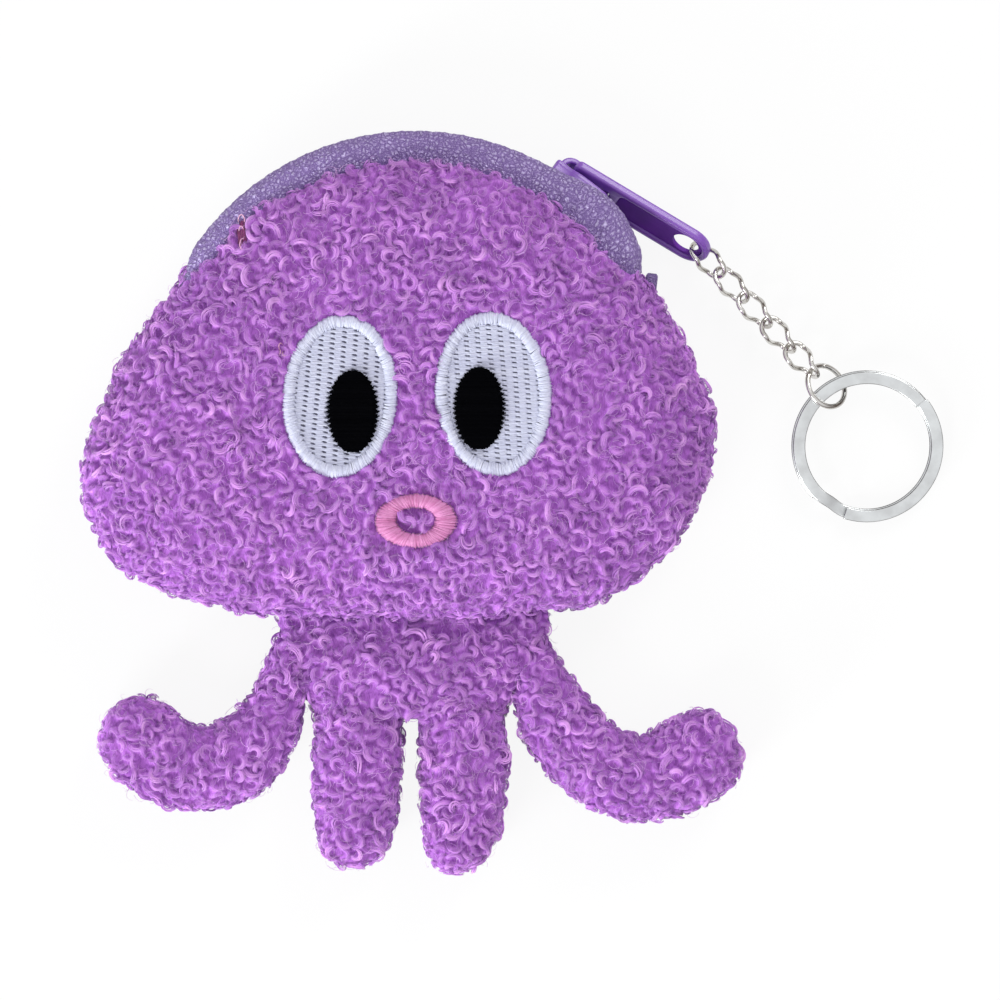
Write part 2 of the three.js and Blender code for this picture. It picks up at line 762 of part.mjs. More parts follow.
// The rings of a limb's surface at a depth under its outside, at distances along it.
function limbRings(limb, depth, distances) {
  const { along, whole, widest } = limbShape(limb);
  const { hem = limbHem, belly = limbBelly, rise = 0, sides = limbSides } = limb;
  const rings = distances.map((distance) => {
    const { middle, across, half } = along(distance);
    const height = limbHeight + rise * (1 - THREE.MathUtils.smoothstep(distance, hem, whole));
    const thick = limbHalf(distance, half, widest, hem, belly) - depth;
    return limbRing(middle, across, half - depth, thick, height, sides);
  });
  if (limb.open) return rings;
  const tip = along(whole - depth).middle;
  return [...rings, [new THREE.Vector3(tip.x, tip.y, limbHeight)]];
}

function spread(from, to, count, ease = 1) {
  const share = (i) => Math.sin(((i / count) * Math.PI) / 2) ** ease;
  return Array.from({ length: count }, (_, i) => from + (to - from) * share(i));
}

// Where the rings of a sleeve's inside and of the stuffing in it stand.
function insidePlaces(limb) {
  const { whole } = limbShape(limb);
  const hem = limb.hem ?? limbHem;
  const end = limb.open ? whole : whole - limbCover - 2.2;
  return [hem, ...spread(hem + 2, end, limb.open ? 2 : Math.round(whole / 5.5)), end];
}

// A limb's plush, a sleeve open at its root, and at both ends for the skirt.
function sleeve(limb) {
  const { whole } = limbShape(limb);
  const hem = limb.hem ?? limbHem;
  const end = limb.open ? whole : whole - 0.4;
  const count = limb.open ? 4 : Math.round(whole / 3.6);
  const outer = limbRings(limb, 0, [slotAt, hem / 2, ...spread(hem, end, count), end]);
  const slot = limbRings({ ...limb, open: true }, 0, [slotAt])[0];
  const mouth = shrinkRing(slot, 1, slotHalf);
  const inner = limbRings(limb, limbCover, insidePlaces(limb));
  return skin([...outer.reverse(), mouth, ...inner], { looped: limb.open });
}

function stuffing(limb) {
  const places = insidePlaces(limb).slice(1);
  if (limb.open) places[places.length - 1] -= gap;
  return skin(limbRings(limb, limbCover + gap + 0.15, places));
}

// A ring drawn in by an amount at its sides and squeezed to a half height.
function shrinkRing(ring, inwards, half) {
  const middle = ring.reduce((sum, point) => sum.add(point), new THREE.Vector3()).divideScalar(ring.length);
  const tall = Math.max(...ring.map((point) => Math.abs(point.z - middle.z)));
  return ring.map((point) => {
    const flat = point.clone().sub(middle).setZ(0);
    const reach = flat.length();
    const moved = flat.multiplyScalar(Math.max(reach - inwards, 0) / Math.max(reach, 1e-6)).add(middle);
    moved.z = middle.z + ((point.z - middle.z) * half) / tall;
    return moved;
  });
}

const skirt = {
  left: [
    [skirtTopLeft + 0.5, skirtTop],
    [skirtTopLeft + 2.6, (skirtTop + skirtBottom) / 2],
    [skirtBottomLeft + 0.3, skirtBottom],
  ],
  right: [
    [skirtTopRight - 0.5, skirtTop],
    [skirtTopRight - 3, (skirtTop + skirtBottom) / 2],
    [skirtBottomRight - 0.3, skirtBottom],
  ],
  hem: neckHem,
  rise: neckHeight - limbHeight,
  sides: 16,
  open: true,
};

const legTop = skirtBottom - gap;
const skirtMiddle = (skirtBottomLeft + skirtBottomRight) / 2;

// A limb's two sides. Each starts at one end of the seam, and its other points are given from the seam's
// middle in leg lengths.
function outlined({ name, root, left, right }) {
  const middle = [0, 1].map((k) => (root[0][k] + root[1][k]) / 2);
  const placed = (side) => side.map((point) => point.map((share, k) => middle[k] + share * legLength));
  return { name, left: [root[0], ...placed(left)], right: [root[1], ...placed(right)] };
}

const limbs = [
  {
    name: "tentacle_outer_left",
    root: [
      [skirtTopLeft - 0.1, skirtTop - 2.2],
      [skirtBottomLeft - 0.7, skirtBottom + 1.5],
    ],
    left: [
      [-0.2684, -0.1471], [-0.4154, -0.2831], [-0.5919, -0.3162], [-0.75, -0.1985],
      [-0.9081, -0.136], [-1.0882, -0.2206], [-1.1728, -0.4154],
    ],
    right: [
      [0.0404, -0.4779], [-0.1581, -0.7574], [-0.5, -0.875], [-0.8015, -0.8309],
      [-0.9963, -0.7206], [-1.1213, -0.5662], [-1.1728, -0.4154],
    ],
  },
  {
    name: "tentacle_inner_left",
    root: [
      [skirtBottomLeft + 0.6, legTop],
      [skirtMiddle - 1.05, legTop],
    ],
    left: [
      [-0.2923, -0.2243], [-0.296, -0.4816], [-0.2776, -0.7022], [-0.2077, -0.8713],
      [-0.0349, -0.9559],
    ],
    right: [
      [0.2923, -0.2243], [0.2776, -0.4816], [0.2298, -0.7206], [0.1305, -0.886],
      [-0.0349, -0.9559],
    ],
  },
  {
    name: "tentacle_inner_right",
    root: [
      [skirtMiddle + 0.95, legTop],
      [skirtBottomRight - 0.7, legTop],
    ],
    left: [
      [-0.2812, -0.2243], [-0.2739, -0.5], [-0.2518, -0.7574], [-0.193, -0.9301],
      [-0.0607, -0.989],
    ],
    right: [
      [0.3033, -0.2243], [0.2923, -0.5], [0.2335, -0.7574], [0.1305, -0.9228],
      [-0.0607, -0.989],
    ],
  },
  {
    name: "tentacle_outer_right",
    root: [
      [skirtBottomRight + 0.3, skirtBottom - 0.2],
      [skirtTopRight - 0.6, skirtTop - 2.1],
    ],
    left: [
      [-0.0423, -0.4485], [0.2555, -0.7647], [0.6048, -0.9118], [0.9357, -0.8713],
      [1.1379, -0.7721], [1.2739, -0.614], [1.2849, -0.4338],
    ],
    right: [
      [0.2518, 0.0147], [0.4871, -0.261], [0.682, -0.3419], [0.8548, -0.25],
      [1.0055, -0.1875], [1.1857, -0.261], [1.2849, -0.4338],
    ],
  },
].map(outlined);

// Embroidery. Each patch lies in the pressed-down pile and follows the dome.
function faceHeight(at) {
  const from = at.clone().sub(headCentre);
  return domeHeight(front, 0, from.length() / rimReach(from.angle()));
}

function ovalRing(at, half, lean, level, around = 24) {
  return Array.from({ length: around }, (_, i) => {
    const turn = (i / around) * 2 * Math.PI;
    const point = new THREE.Vector2(half[0] * Math.cos(turn), half[1] * Math.sin(turn));
    point.rotateAround(new THREE.Vector2(), lean).add(at);
    return new THREE.Vector3(point.x, point.y, faceHeight(point) + level);
  });
}

// An oval disc, or with a hole of its own size an oval ring, between two levels over the dome.
function patch({ at, half, lean = 0, low, high, hole = null, around = 24 }) {
  const centre = new THREE.Vector2(...at);
  const ring = (share, level) => ovalRing(centre, half.map((reach) => reach * share), lean, level, around);
  const soft = stitchRound;
  if (hole) {
    const edge = (level, more) => ovalRing(centre, hole.map((reach) => reach + more), lean, level, around);
    const outer = [ring(1, low), ring(1, high - soft), ring(1 - 0.3 / half[0], high)];
    const inner = [edge(high, 0.3), edge(high - soft, 0), edge(low, 0)];
    return skin([...outer, ...inner], { looped: true });
  }
  const middle = (level) => [new THREE.Vector3(centre.x, centre.y, faceHeight(centre) + level)];
  const under = [middle(low), ring(0.5, low), ring(1, low)];
  const over = [ring(1, high - soft), ring(1 - 0.25 / half[0], high), ring(0.5, high), middle(high)];
  return skin([...under, ...over]);
}

// The pressed-down bed of a patch.
function bed({ at, half, lean = 0 }) {
  const wide = half.map((reach) => reach + gap);
  return patch({ at, half: wide, lean, low: -pressed - gap, high: 6 });
}

const stitches = { low: -pressed };
const eyeInner = (half) => half.map((reach) => reach - borderWidth);

// Colours
const plushColour = 0xa55fbe;
const tapeColour = 0x9b87c8;
const enamelColour = 0x7d55af;
const steelColour = 0xd6d4d0;
const fibreColour = 0xf1efe9;
const liningColour = 0x8a6cb4;
const whiteColour = 0xefedf2;
const blackColour = 0x141216;
const pinkColour = 0xe685b4;

const object = new THREE.Group();

function add(name, geometry, colour, { parent = object, metalness = 0, roughness = 0.9 } = {}) {
  const material = new THREE.MeshStandardMaterial({ color: colour, metalness, roughness });
  const mesh = new THREE.Mesh(geometry, material);
  mesh.name = name;
  parent.add(mesh);
  return mesh;
}

// A group that turns about its own frame, placed in its parent by a matrix.
function pivot(name, parent, matrix = new THREE.Matrix4()) {
  const group = new THREE.Group();
  group.name = name;
  group.applyMatrix4(matrix);
  parent.add(group);
  return group;
}

// Head
const mouth = { at: mouthAt, half: mouthHalf };
const frontPanel = panel(front, zipNotch(front));
add("head_front_panel", cut(frontPanel, ...eyes.map(bed), bed(mouth)), plushColour);
add("head_back_panel", panel(back, zipNotch(back)), plushColour);
add("front_wadding", padding(front, frontPadding), fibreColour);
add("back_wadding", padding(back, backPadding), fibreColour);
add("lining_bag", lining(), liningColour, { roughness: 0.6 });

// Face
for (const { side, at, half, lean, pupilAt } of eyes) {
  const white = { at, half, lean, hole: eyeInner(half), low: -pressed, high: borderTop };
  const fill = { at, half: eyeInner(half).map((reach) => reach - gap), lean, low: -pressed, high: fillTop };
  const pupil = { at: pupilAt, half: pupilHalf, low: fillTop + gap, high: pupilTop };
  add(`eye_${side}_border`, patch(white), whiteColour, { roughness: 0.5 });
  add(`eye_${side}_white`, patch(fill), whiteColour, { roughness: 0.6 });
  add(`eye_${side}_pupil`, patch(pupil), blackColour, { roughness: 0.6 });
}
const mouthHole = mouthHalf.map((reach, i) => reach - (i === 0 ? mouthBorder + 0.4 : mouthBorder - 1));
add("mouth_ring", patch({ ...mouth, hole: mouthHole, low: -pressed, high: borderTop }), pinkColour, {
  roughness: 0.5,
});

// Zip
add("zip_tape_front", tape(frontTape), tapeColour);
add("zip_tape_back", tape(backTape), tapeColour);
add("zip_teeth_front", toothRow(1, 0), enamelColour, { roughness: 0.5 });
add("zip_teeth_back", toothRow(-1, 0.5), enamelColour, { roughness: 0.5 });
const stopsAt = zipFrame(sliderAngle);
const besideNose = -sliderLength / 2 - 2.4;
for (const [side, up] of [["front", 1], ["back", -1]]) {
  const block = stop(besideNose, besideNose + 2, Math.min(up * 0.3, up * 2.3), Math.max(up * 0.3, up * 2.3));
  add(`top_stop_${side}`, block.applyMatrix4(stopsAt), steelColour, { metalness: 1, roughness: 0.35 });
}
const bottomStop = stop(0.2, 2.7, -2.2, 2.2).applyMatrix4(zipFrame(teethTo));
add("bottom_stop", bottomStop, steelColour, { metalness: 1, roughness: 0.35 });

// Slider and pull
const enamel = { metalness: 0.1, roughness: 0.35 };
const slide = pivot("zip_slide", object, new THREE.Matrix4().makeRotationZ(sliderAngle));
const sliderSeat = zipFrame(0);
sliderSeat.multiply(new THREE.Matrix4().makeTranslation(
  0,
  (-arcSag / 2) * Math.sin(zipRoll),
  (-arcSag / 2) * Math.cos(zipRoll),
));
add("zip_slider", slider().applyMatrix4(sliderSeat), enamelColour, { parent: slide, ...enamel });
const barSeat = sliderSeat
  .clone()
  .multiply(new THREE.Matrix4().makeTranslation(pinAlong, 0, pinHeight))
  .multiply(new THREE.Matrix4().makeRotationZ(Math.PI))
  .multiply(new THREE.Matrix4().makeRotationY(-pullSwing));
const pullPivot = pivot("pull_swing", slide, barSeat);
add("zip_pull", pull(), enamelColour, { parent: pullPivot, ...enamel });

// Chain. It leaves the pull's hole in one line and falls to the jump ring. The first link turns about the
// middle of the hole, and the others about one of the two wires that meet there, in turn.
const inFrame = (group, matrix) => {
  group.updateWorldMatrix(true, false);
  return group.matrixWorld.clone().invert().multiply(matrix);
};
const shifted = (matrix, x) => matrix.clone().multiply(new THREE.Matrix4().makeTranslation(x, 0, 0));
pullPivot.updateWorldMatrix(true, false);
const hole = new THREE.Vector3(holeAt, 0, 0).applyMatrix4(pullPivot.matrixWorld);
const chainFrom = new THREE.Vector3(holeAt, 0, chainAside).applyMatrix4(pullPivot.matrixWorld);
const chainRun = chainStart + 4 * linkPitch + linkLength - wire;
const fall = Math.asin((chainEndHeight - chainFrom.z) / (chainRun + 2));
const heading = new THREE.Vector3(Math.cos(chainHeading), Math.sin(chainHeading), 0)
  .multiplyScalar(Math.cos(fall))
  .setZ(Math.sin(fall));
const level = new THREE.Vector3(-Math.sin(chainHeading), Math.cos(chainHeading), 0);
const rise = new THREE.Vector3().crossVectors(heading, level);
const steel = { metalness: 1, roughness: 0.25 };

// The frame of a link or ring at a distance along the chain, rolled about it.
function chainFrame(distance, roll) {
  const across = level.clone().multiplyScalar(Math.cos(roll)).addScaledVector(rise, Math.sin(roll));
  const off = new THREE.Vector3().crossVectors(heading, across);
  const frame = new THREE.Matrix4().makeBasis(heading, across, off);
  return frame.setPosition(chainFrom.clone().addScaledVector(heading, distance));
}

const wireStep = wire + gap + 0.06; // from one link's end wire to the next one's
let holder = pivot("chain_hinge_1", pullPivot, new THREE.Matrix4().makeTranslation(holeAt, 0, 0));
linkRolls.forEach((roll, i) => {
  const seat = chainFrame(chainStart + i * linkPitch, roll);
  if (i > 0) {
    const axis = i % 2 ? shifted(seat, wireStep) : seat;
    holder = pivot(`chain_hinge_${i + 1}`, holder, inFrame(holder, axis));
  }
  add(`chain_link_${i + 1}`, chainLink().applyMatrix4(inFrame(holder, seat)), steelColour, {
    parent: holder,
    ...steel,
  });
});

// Jump ring and split ring
const jumpRun = chainRun - wireStep - 0.15 + (jumpDiameter - wire) / 2;
const jumpAt = chainFrom.clone().addScaledVector(heading, jumpRun);
const towardsSplit = new THREE.Vector3(Math.cos(splitHeading), Math.sin(splitHeading), 0);
const jumpAcross = new THREE.Vector3(-Math.sin(splitHeading), Math.cos(splitHeading), 0)
  .multiplyScalar(Math.cos(jumpTilt))
  .setZ(Math.sin(jumpTilt));
const jumpFrame = new THREE.Matrix4()
  .makeBasis(towardsSplit, jumpAcross, new THREE.Vector3().crossVectors(towardsSplit, jumpAcross))
  .setPosition(jumpAt);
const lastWire = chainFrom.clone().addScaledVector(heading, chainRun);
const jumpPivot = pivot("jump_hinge", holder, inFrame(holder, jumpFrame.clone().setPosition(lastWire)));
add("jump_ring", jumpRing().applyMatrix4(inFrame(jumpPivot, jumpFrame)), steelColour, {
  parent: jumpPivot,
  ...steel,
});

const splitMiddle = (splitDiameter - splitBand) / 2;
const splitThick = 2 * splitTurn + splitSlit;
const lean = Math.asin((jumpAt.z - splitThick / 2 - 0.1) / (2 * splitMiddle));
const splitAt = jumpAt.clone().addScaledVector(towardsSplit, splitMiddle + splitAside);
splitAt.z = jumpAt.z - splitMiddle * Math.sin(lean);
const splitFrame = new THREE.Matrix4()
  .makeRotationAxis(new THREE.Vector3(-towardsSplit.y, towardsSplit.x, 0), lean)
  .setPosition(splitAt);
const besideSplit = new THREE.Vector3(-towardsSplit.y, towardsSplit.x, 0);
const bandFrame = new THREE.Matrix4()
  .makeBasis(besideSplit, towardsSplit.clone().negate(), new THREE.Vector3(0, 0, 1))
  .setPosition(jumpAt.clone().addScaledVector(towardsSplit, splitAside));
const splitPivot = pivot("split_hinge", jumpPivot, inFrame(jumpPivot, bandFrame));
add("split_ring", splitRing().applyMatrix4(inFrame(splitPivot, splitFrame)), steelColour, {
  parent: splitPivot,
  ...steel,
});

// Skirt and tentacles
add("skirt_cover", sleeve(skirt), plushColour);
add("skirt_stuffing", stuffing(skirt), fibreColour);
for (const limb of limbs) {
  add(`${limb.name}_cover`, sleeve(limb), plushColour);
  add(`${limb.name}_stuffing`, stuffing(limb), fibreColour);
}

export default object;
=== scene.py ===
"""Dresses the octopus coin purse: curled fleece, embroidery, zip, slider and pull, chain and split ring."""

import math

import bpy
import numpy as np
from mathutils import Matrix, Vector, kdtree


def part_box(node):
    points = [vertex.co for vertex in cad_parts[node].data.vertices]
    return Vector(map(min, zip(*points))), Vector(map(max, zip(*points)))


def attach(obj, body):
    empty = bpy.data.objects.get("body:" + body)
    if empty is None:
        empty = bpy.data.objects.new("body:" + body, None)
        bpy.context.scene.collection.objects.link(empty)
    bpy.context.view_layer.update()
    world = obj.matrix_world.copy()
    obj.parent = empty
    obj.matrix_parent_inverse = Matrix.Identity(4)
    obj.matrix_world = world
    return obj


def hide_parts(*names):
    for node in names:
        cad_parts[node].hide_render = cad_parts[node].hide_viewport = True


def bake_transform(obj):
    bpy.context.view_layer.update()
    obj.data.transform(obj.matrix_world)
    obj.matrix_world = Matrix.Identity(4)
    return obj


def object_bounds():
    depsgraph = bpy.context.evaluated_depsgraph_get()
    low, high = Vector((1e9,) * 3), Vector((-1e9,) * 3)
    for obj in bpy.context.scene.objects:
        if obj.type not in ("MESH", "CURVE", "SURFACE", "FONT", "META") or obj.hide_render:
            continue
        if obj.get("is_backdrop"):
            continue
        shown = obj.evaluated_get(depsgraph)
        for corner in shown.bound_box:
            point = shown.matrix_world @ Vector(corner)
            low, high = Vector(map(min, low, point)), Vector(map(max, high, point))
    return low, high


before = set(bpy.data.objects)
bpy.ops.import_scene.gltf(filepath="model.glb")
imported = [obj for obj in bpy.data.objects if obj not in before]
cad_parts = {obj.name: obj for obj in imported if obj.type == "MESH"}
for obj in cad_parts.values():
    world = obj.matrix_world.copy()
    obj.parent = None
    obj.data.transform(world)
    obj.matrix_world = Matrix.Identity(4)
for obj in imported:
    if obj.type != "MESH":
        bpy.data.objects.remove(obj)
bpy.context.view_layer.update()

# Everything below is in millimetres until a mesh is made.
MM = 0.001
TAU = 2 * math.pi
rng = np.random.default_rng(20831)
CLOTH_SCALE = 20  # skins are blown up on a copy this much larger
PLATE_SCALE = 100  # plates are filled on a copy this much larger

# Head, seen from above
GAP = 0.3
RIM_RADIUS = 44.0
ZIP_RIGHT = math.radians(29.8)
ZIP_LEFT = math.radians(147.4)
HEAD_LEFT, HEAD_RIGHT = -55.8, 50.2
WIDEST_LEFT, WIDEST_RIGHT = -13.5, -7.5
HEAD_BOTTOM = -36.0
BOTTOM_SAG = 1.2
HEAD_CENTRE = np.array([-2.5, -2.14])
HEAD_INSET = 0.7  # of the skin inside the outline
ARC_POINTS = 120  # of the outline along the zip
SEAM_HEIGHT = 8.0
FRONT_RISE = 10.5

# Zip
TEETH_RADIUS = RIM_RADIUS - 2.6
ZIP_ROLL = math.radians(30)
TAPE_THICKNESS = 0.7
TAPE_SLIT = 1.7
PLUSH_EDGE = TEETH_RADIUS - 2.1
TAPE_TURN = 4.6
TAPE_TOP = SEAM_HEIGHT + 5.2
TAPE_INNER = TEETH_RADIUS - 4.8
BELL_AT, BELL_SPAN = math.radians(44.5), math.radians(10)  # where the face's tape bells out
BACK_TAPE_HEIGHT = SEAM_HEIGHT - 4.1
TEETH_HEIGHT = 1.25
TEETH_FLOOR = TAPE_THICKNESS / 2 + GAP

# Slider and pull
RUNNING = 0.35
SLIDER_ANGLE = math.radians(52.3)
SLIDER_LENGTH = 11.0
SLIDER_HALF = 3.9
SLIDER_TAIL = 3.4
PLATE = 1.1
BRIDGE_WIDTH = 2.6
BRIDGE_THICKNESS = 1.0
BRIDGE_FROM, BRIDGE_TO = -4.6, 4.9
PIN_ALONG = 2.6
PULL_LENGTH = 27.5
PULL_WIDTH = 8.0
PULL_THICKNESS = 1.7
PULL_SWING = math.radians(8)
HOLE_RADIUS = 2.35
HOLE_RIM = 1.9
WINDOW_LENGTH = 7.0

# Chain and rings
CHAIN_HEADING = math.radians(-46.8)
CHAIN_END_HEIGHT = 2.9
CHAIN_START = 1.3
CHAIN_ASIDE = 0.75
WIRE = 0.9
LINK_LENGTH = 7.9
LINK_WIDTH = 4.5
LINK_ROLLS = [math.radians(r) for r in (-46, -36, -28, -22, -20)]
LINK_GRIP = 1.26  # how far the jump ring reaches back into the last link
JUMP_DIAMETER = 8.2
JUMP_PLAY = 0.15
JUMP_TILT = math.radians(-39)
SPLIT_DIAMETER = 25.0
SPLIT_BAND = 2.0
SPLIT_TURN = 0.75
SPLIT_SLIT = 0.45
SPLIT_ASIDE = 0.5
SPLIT_HEADING = math.radians(-55.5)
KINK_AT = math.radians(238)
KINK_SPAN = math.radians(24)
KINK_SPARE = math.radians(2)  # between the kink and each end of the band

# Limbs
LIMB_HEIGHT = 5.6
LIMB_HEM = 2.6
LIMB_BELLY = 5.2
NECK_HEIGHT = 7.0
NECK_HEM = 3.0
SKIRT_TOP = HEAD_BOTTOM - BOTTOM_SAG - GAP - 0.2
SKIRT_BOTTOM = -51.6

# Face
EYES = {
    "left": {"at": (-12.2, 0.3), "half": (9.35, 13.35), "lean": -4.5, "pupil": (-10.1, -2.2)},
    "right": {"at": (12.9, 0.7), "half": (9.5, 13.45), "lean": 4.0, "pupil": (10.6, -1.7)},
}
BORDER = 2.0
THREAD_PITCH = 0.2025
DENT_COLUMN, DENT_ROW = 1.88, 0.81  # from dent to dent, across the eye and up it
PUPIL_HALF = (4.05, 6.65)
MOUTH_AT = (0.2, -20.1)
MOUTH_HALF = (6.75, 4.4)
MOUTH_HOLE = (3.15, 2.2)
PIT_AT = (-28.4, 27.0)  # a small pit in the seam, with red threads

# Pile
PILE_DEPTH = 1.35  # of the backing under the tops of the curls
BACK_PILE_DEPTH = 1.0
LIMB_PILE_DEPTH = 1.25
PILE_FLOOR = 0.03  # above the table
BACKING_FLOOR = 0.04
LOCK_SPACING = 1.42
LOCKS_IN_PIECE = 380

# Camera, in metres
CAMERA_DISTANCE = 1.2
VIEW_WIDTH = 0.165


def unit(v):
    return v / np.maximum(np.linalg.norm(v, axis=-1, keepdims=True), 1e-12)


def smoothstep(x, low, high):
    t = np.clip((np.asarray(x, float) - low) / (high - low), 0, 1)
    return t * t * (3 - 2 * t)


def polar(radius, angle):
    return np.stack([radius * np.cos(angle), radius * np.sin(angle)], -1)


def circle(count):
    """Even angles once round."""
    return np.arange(count) / count * TAU


def run_along(line):
    """How far along a line each of its points is."""
    return np.concatenate([[0], np.cumsum(np.linalg.norm(np.diff(line, axis=0), axis=1))])


def squared(wave, power):
    """A sine or cosine drawn out towards a square wave, for rounded boxes."""
    return np.sign(wave) * np.abs(wave) ** power


def bezier(*knots, steps=60):
    """Points of a quadratic or cubic curve."""
    t = np.linspace(0, 1, steps)[:, None]
    knots = [np.asarray(k, float) for k in knots]
    while len(knots) > 1:
        knots = [a * (1 - t) + b * t for a, b in zip(knots, knots[1:])]
    return knots[0]


def srgb(*levels):
    """A colour written as 0 to 255 levels, in linear light."""
    c = np.array(levels, float) / 255
    lin = np.where(c <= 0.04045, c / 12.92, ((c + 0.055) / 1.055) ** 2.4)
    return (*lin, 1.0)


# Meshes


def placed(name, data):
    """An object in the scene, at the origin."""
    made = bpy.data.objects.new(name, data)
    bpy.context.scene.collection.objects.link(made)
    return made


def mesh_object(name, verts, faces, points=None, corner_uv=None):
    """An object from corners in millimetres and arrays of faces, with named values at its points."""
    faces = [f for f in faces if len(f)]
    mesh = bpy.data.meshes.new(name)
    mesh.vertices.add(len(verts))
    mesh.vertices.foreach_set("co", (np.asarray(verts) * MM).astype(np.float32).ravel())
    sizes = np.concatenate([np.full(len(f), f.shape[1]) for f in faces])
    loops = np.concatenate([f.ravel() for f in faces]).astype(np.int32)
    mesh.loops.add(len(loops))
    mesh.loops.foreach_set("vertex_index", loops)
    mesh.polygons.add(len(sizes))
    mesh.polygons.foreach_set("loop_start", np.concatenate([[0], np.cumsum(sizes)[:-1]]).astype(np.int32))
    mesh.polygons.foreach_set("use_smooth", np.full(len(sizes), True))
    mesh.update(calc_edges=True)
    for key, values in (points or {}).items():
        values = np.asarray(values, np.float32)
        kind = "FLOAT" if values.ndim == 1 else "FLOAT_VECTOR"
        attribute = mesh.attributes.new(key, kind, "POINT")
        attribute.data.foreach_set("value" if values.ndim == 1 else "vector", values.ravel())
    if corner_uv is not None:
        layer = mesh.uv_layers.new(name="OFBake")
        layer.uv.foreach_set("vector", np.asarray(corner_uv, np.float32).ravel())
    mesh.validate()
    return placed(name, mesh)


def grid_faces(rows, columns, loop_rows=False, loop_columns=False):
    """Quads of a grid of points, facing along columns x rows."""
    index = np.arange(rows * columns).reshape(rows, columns)
    if loop_rows:
        index = np.vstack([index, index[:1]])
    if loop_columns:
        index = np.hstack([index, index[:, :1]])
    a, b, c, d = index[:-1, :-1], index[:-1, 1:], index[1:, 1:], index[1:, :-1]
    return np.stack([a, b, c, d], -1).reshape(-1, 4)


def facing_out(verts, faces):
    """The faces, all turned over if they look into the body that they close."""
    a, b, c = (verts[faces[0][:, k]] for k in range(3))
    outwards = (np.cross(b - a, c - a) * (a - verts.mean(0))).sum() > 0
    return faces if outwards else [f[:, ::-1] for f in faces]


def swept_faces(steps, width):
    """Faces of a section swept along a line, with both ends."""
    ring = np.arange(width)
    return [grid_faces(steps, width, loop_columns=True), ring[None, ::-1], (ring + (steps - 1) * width)[None]]


def tubes(paths, radii, ups, sides, looped=False):
    """Round threads along paths of equal count: corners, faces, and each corner's place in its thread."""
    paths = np.asarray(paths, float)
    count, steps, _ = paths.shape
    if looped:
        along = unit(np.roll(paths, -1, 1) - np.roll(paths, 1, 1))
    else:
        along = unit(np.gradient(paths, axis=1))
    ups = np.broadcast_to(ups, paths.shape)
    across = unit(np.cross(along, ups))
    over = np.cross(across, along)
    turn = circle(sides)
    radii = np.broadcast_to(radii, (count, steps))[:, :, None, None]
    spokes = across[:, :, None] * np.cos(turn)[:, None] + over[:, :, None] * np.sin(turn)[:, None]
    verts = paths[:, :, None] + radii * spokes
    index = np.arange(count * steps * sides).reshape(count, steps, sides)
    low, high = (index, np.roll(index, -1, 1)) if looped else (index[:, :-1], index[:, 1:])
    faces = [np.stack([low, high, np.roll(high, -1, 2), np.roll(low, -1, 2)], -1).reshape(-1, 4)]
    if not looped:
        faces += [index[:, 0], index[:, -1, ::-1]]
    lengths = np.linalg.norm(np.diff(paths, axis=1), axis=2)
    place = np.zeros((count, steps, sides, 3))
    place[..., 0] = np.concatenate([np.zeros((count, 1)), np.cumsum(lengths, 1)], 1)[:, :, None]
    place[..., 1] = np.cos(turn)
    place[..., 2] = np.sin(turn)
    place[..., 1:] += np.arange(count)[:, None, None, None] * 2.7
    return verts.reshape(-1, 3), faces, place.reshape(-1, 3)


def tube_uv(count, steps, sides):
    """Bake map: each thread has its own cell of a square."""
    across = math.ceil(math.sqrt(count))
    cell = np.arange(count)
    corner = np.stack([cell % across, cell // across], -1)[:, None, None, None] / across
    i, k = np.meshgrid(np.arange(steps - 1), np.arange(sides), indexing="ij")
    u = np.stack([i, i + 1, i + 1, i], -1) / (steps - 1)
    v = np.stack([k, k, k + 1, k + 1], -1) / sides * 0.88
    body = np.stack([u, v], -1)[None] * 0.94 + 0.03
    quads = (corner + body / across).reshape(-1, 2)
    turn = circle(sides)
    ring = np.stack([0.25 + 0.2 * np.cos(turn), 0.945 + 0.03 * np.sin(turn)], -1)
    caps = [(corner[:, 0, 0] + (ring + [shift, 0]) / across).reshape(-1, 2) for shift in (0, 0.5)]
    return np.concatenate([quads, *caps])


def joined(*parts):
    """Several (corners, faces) as one."""
    verts, faces, start = [], [], 0
    for v, f in parts:
        verts.append(v)
        faces += [one + start for one in f]
        start += len(v)
    return np.concatenate(verts), faces


# Materials


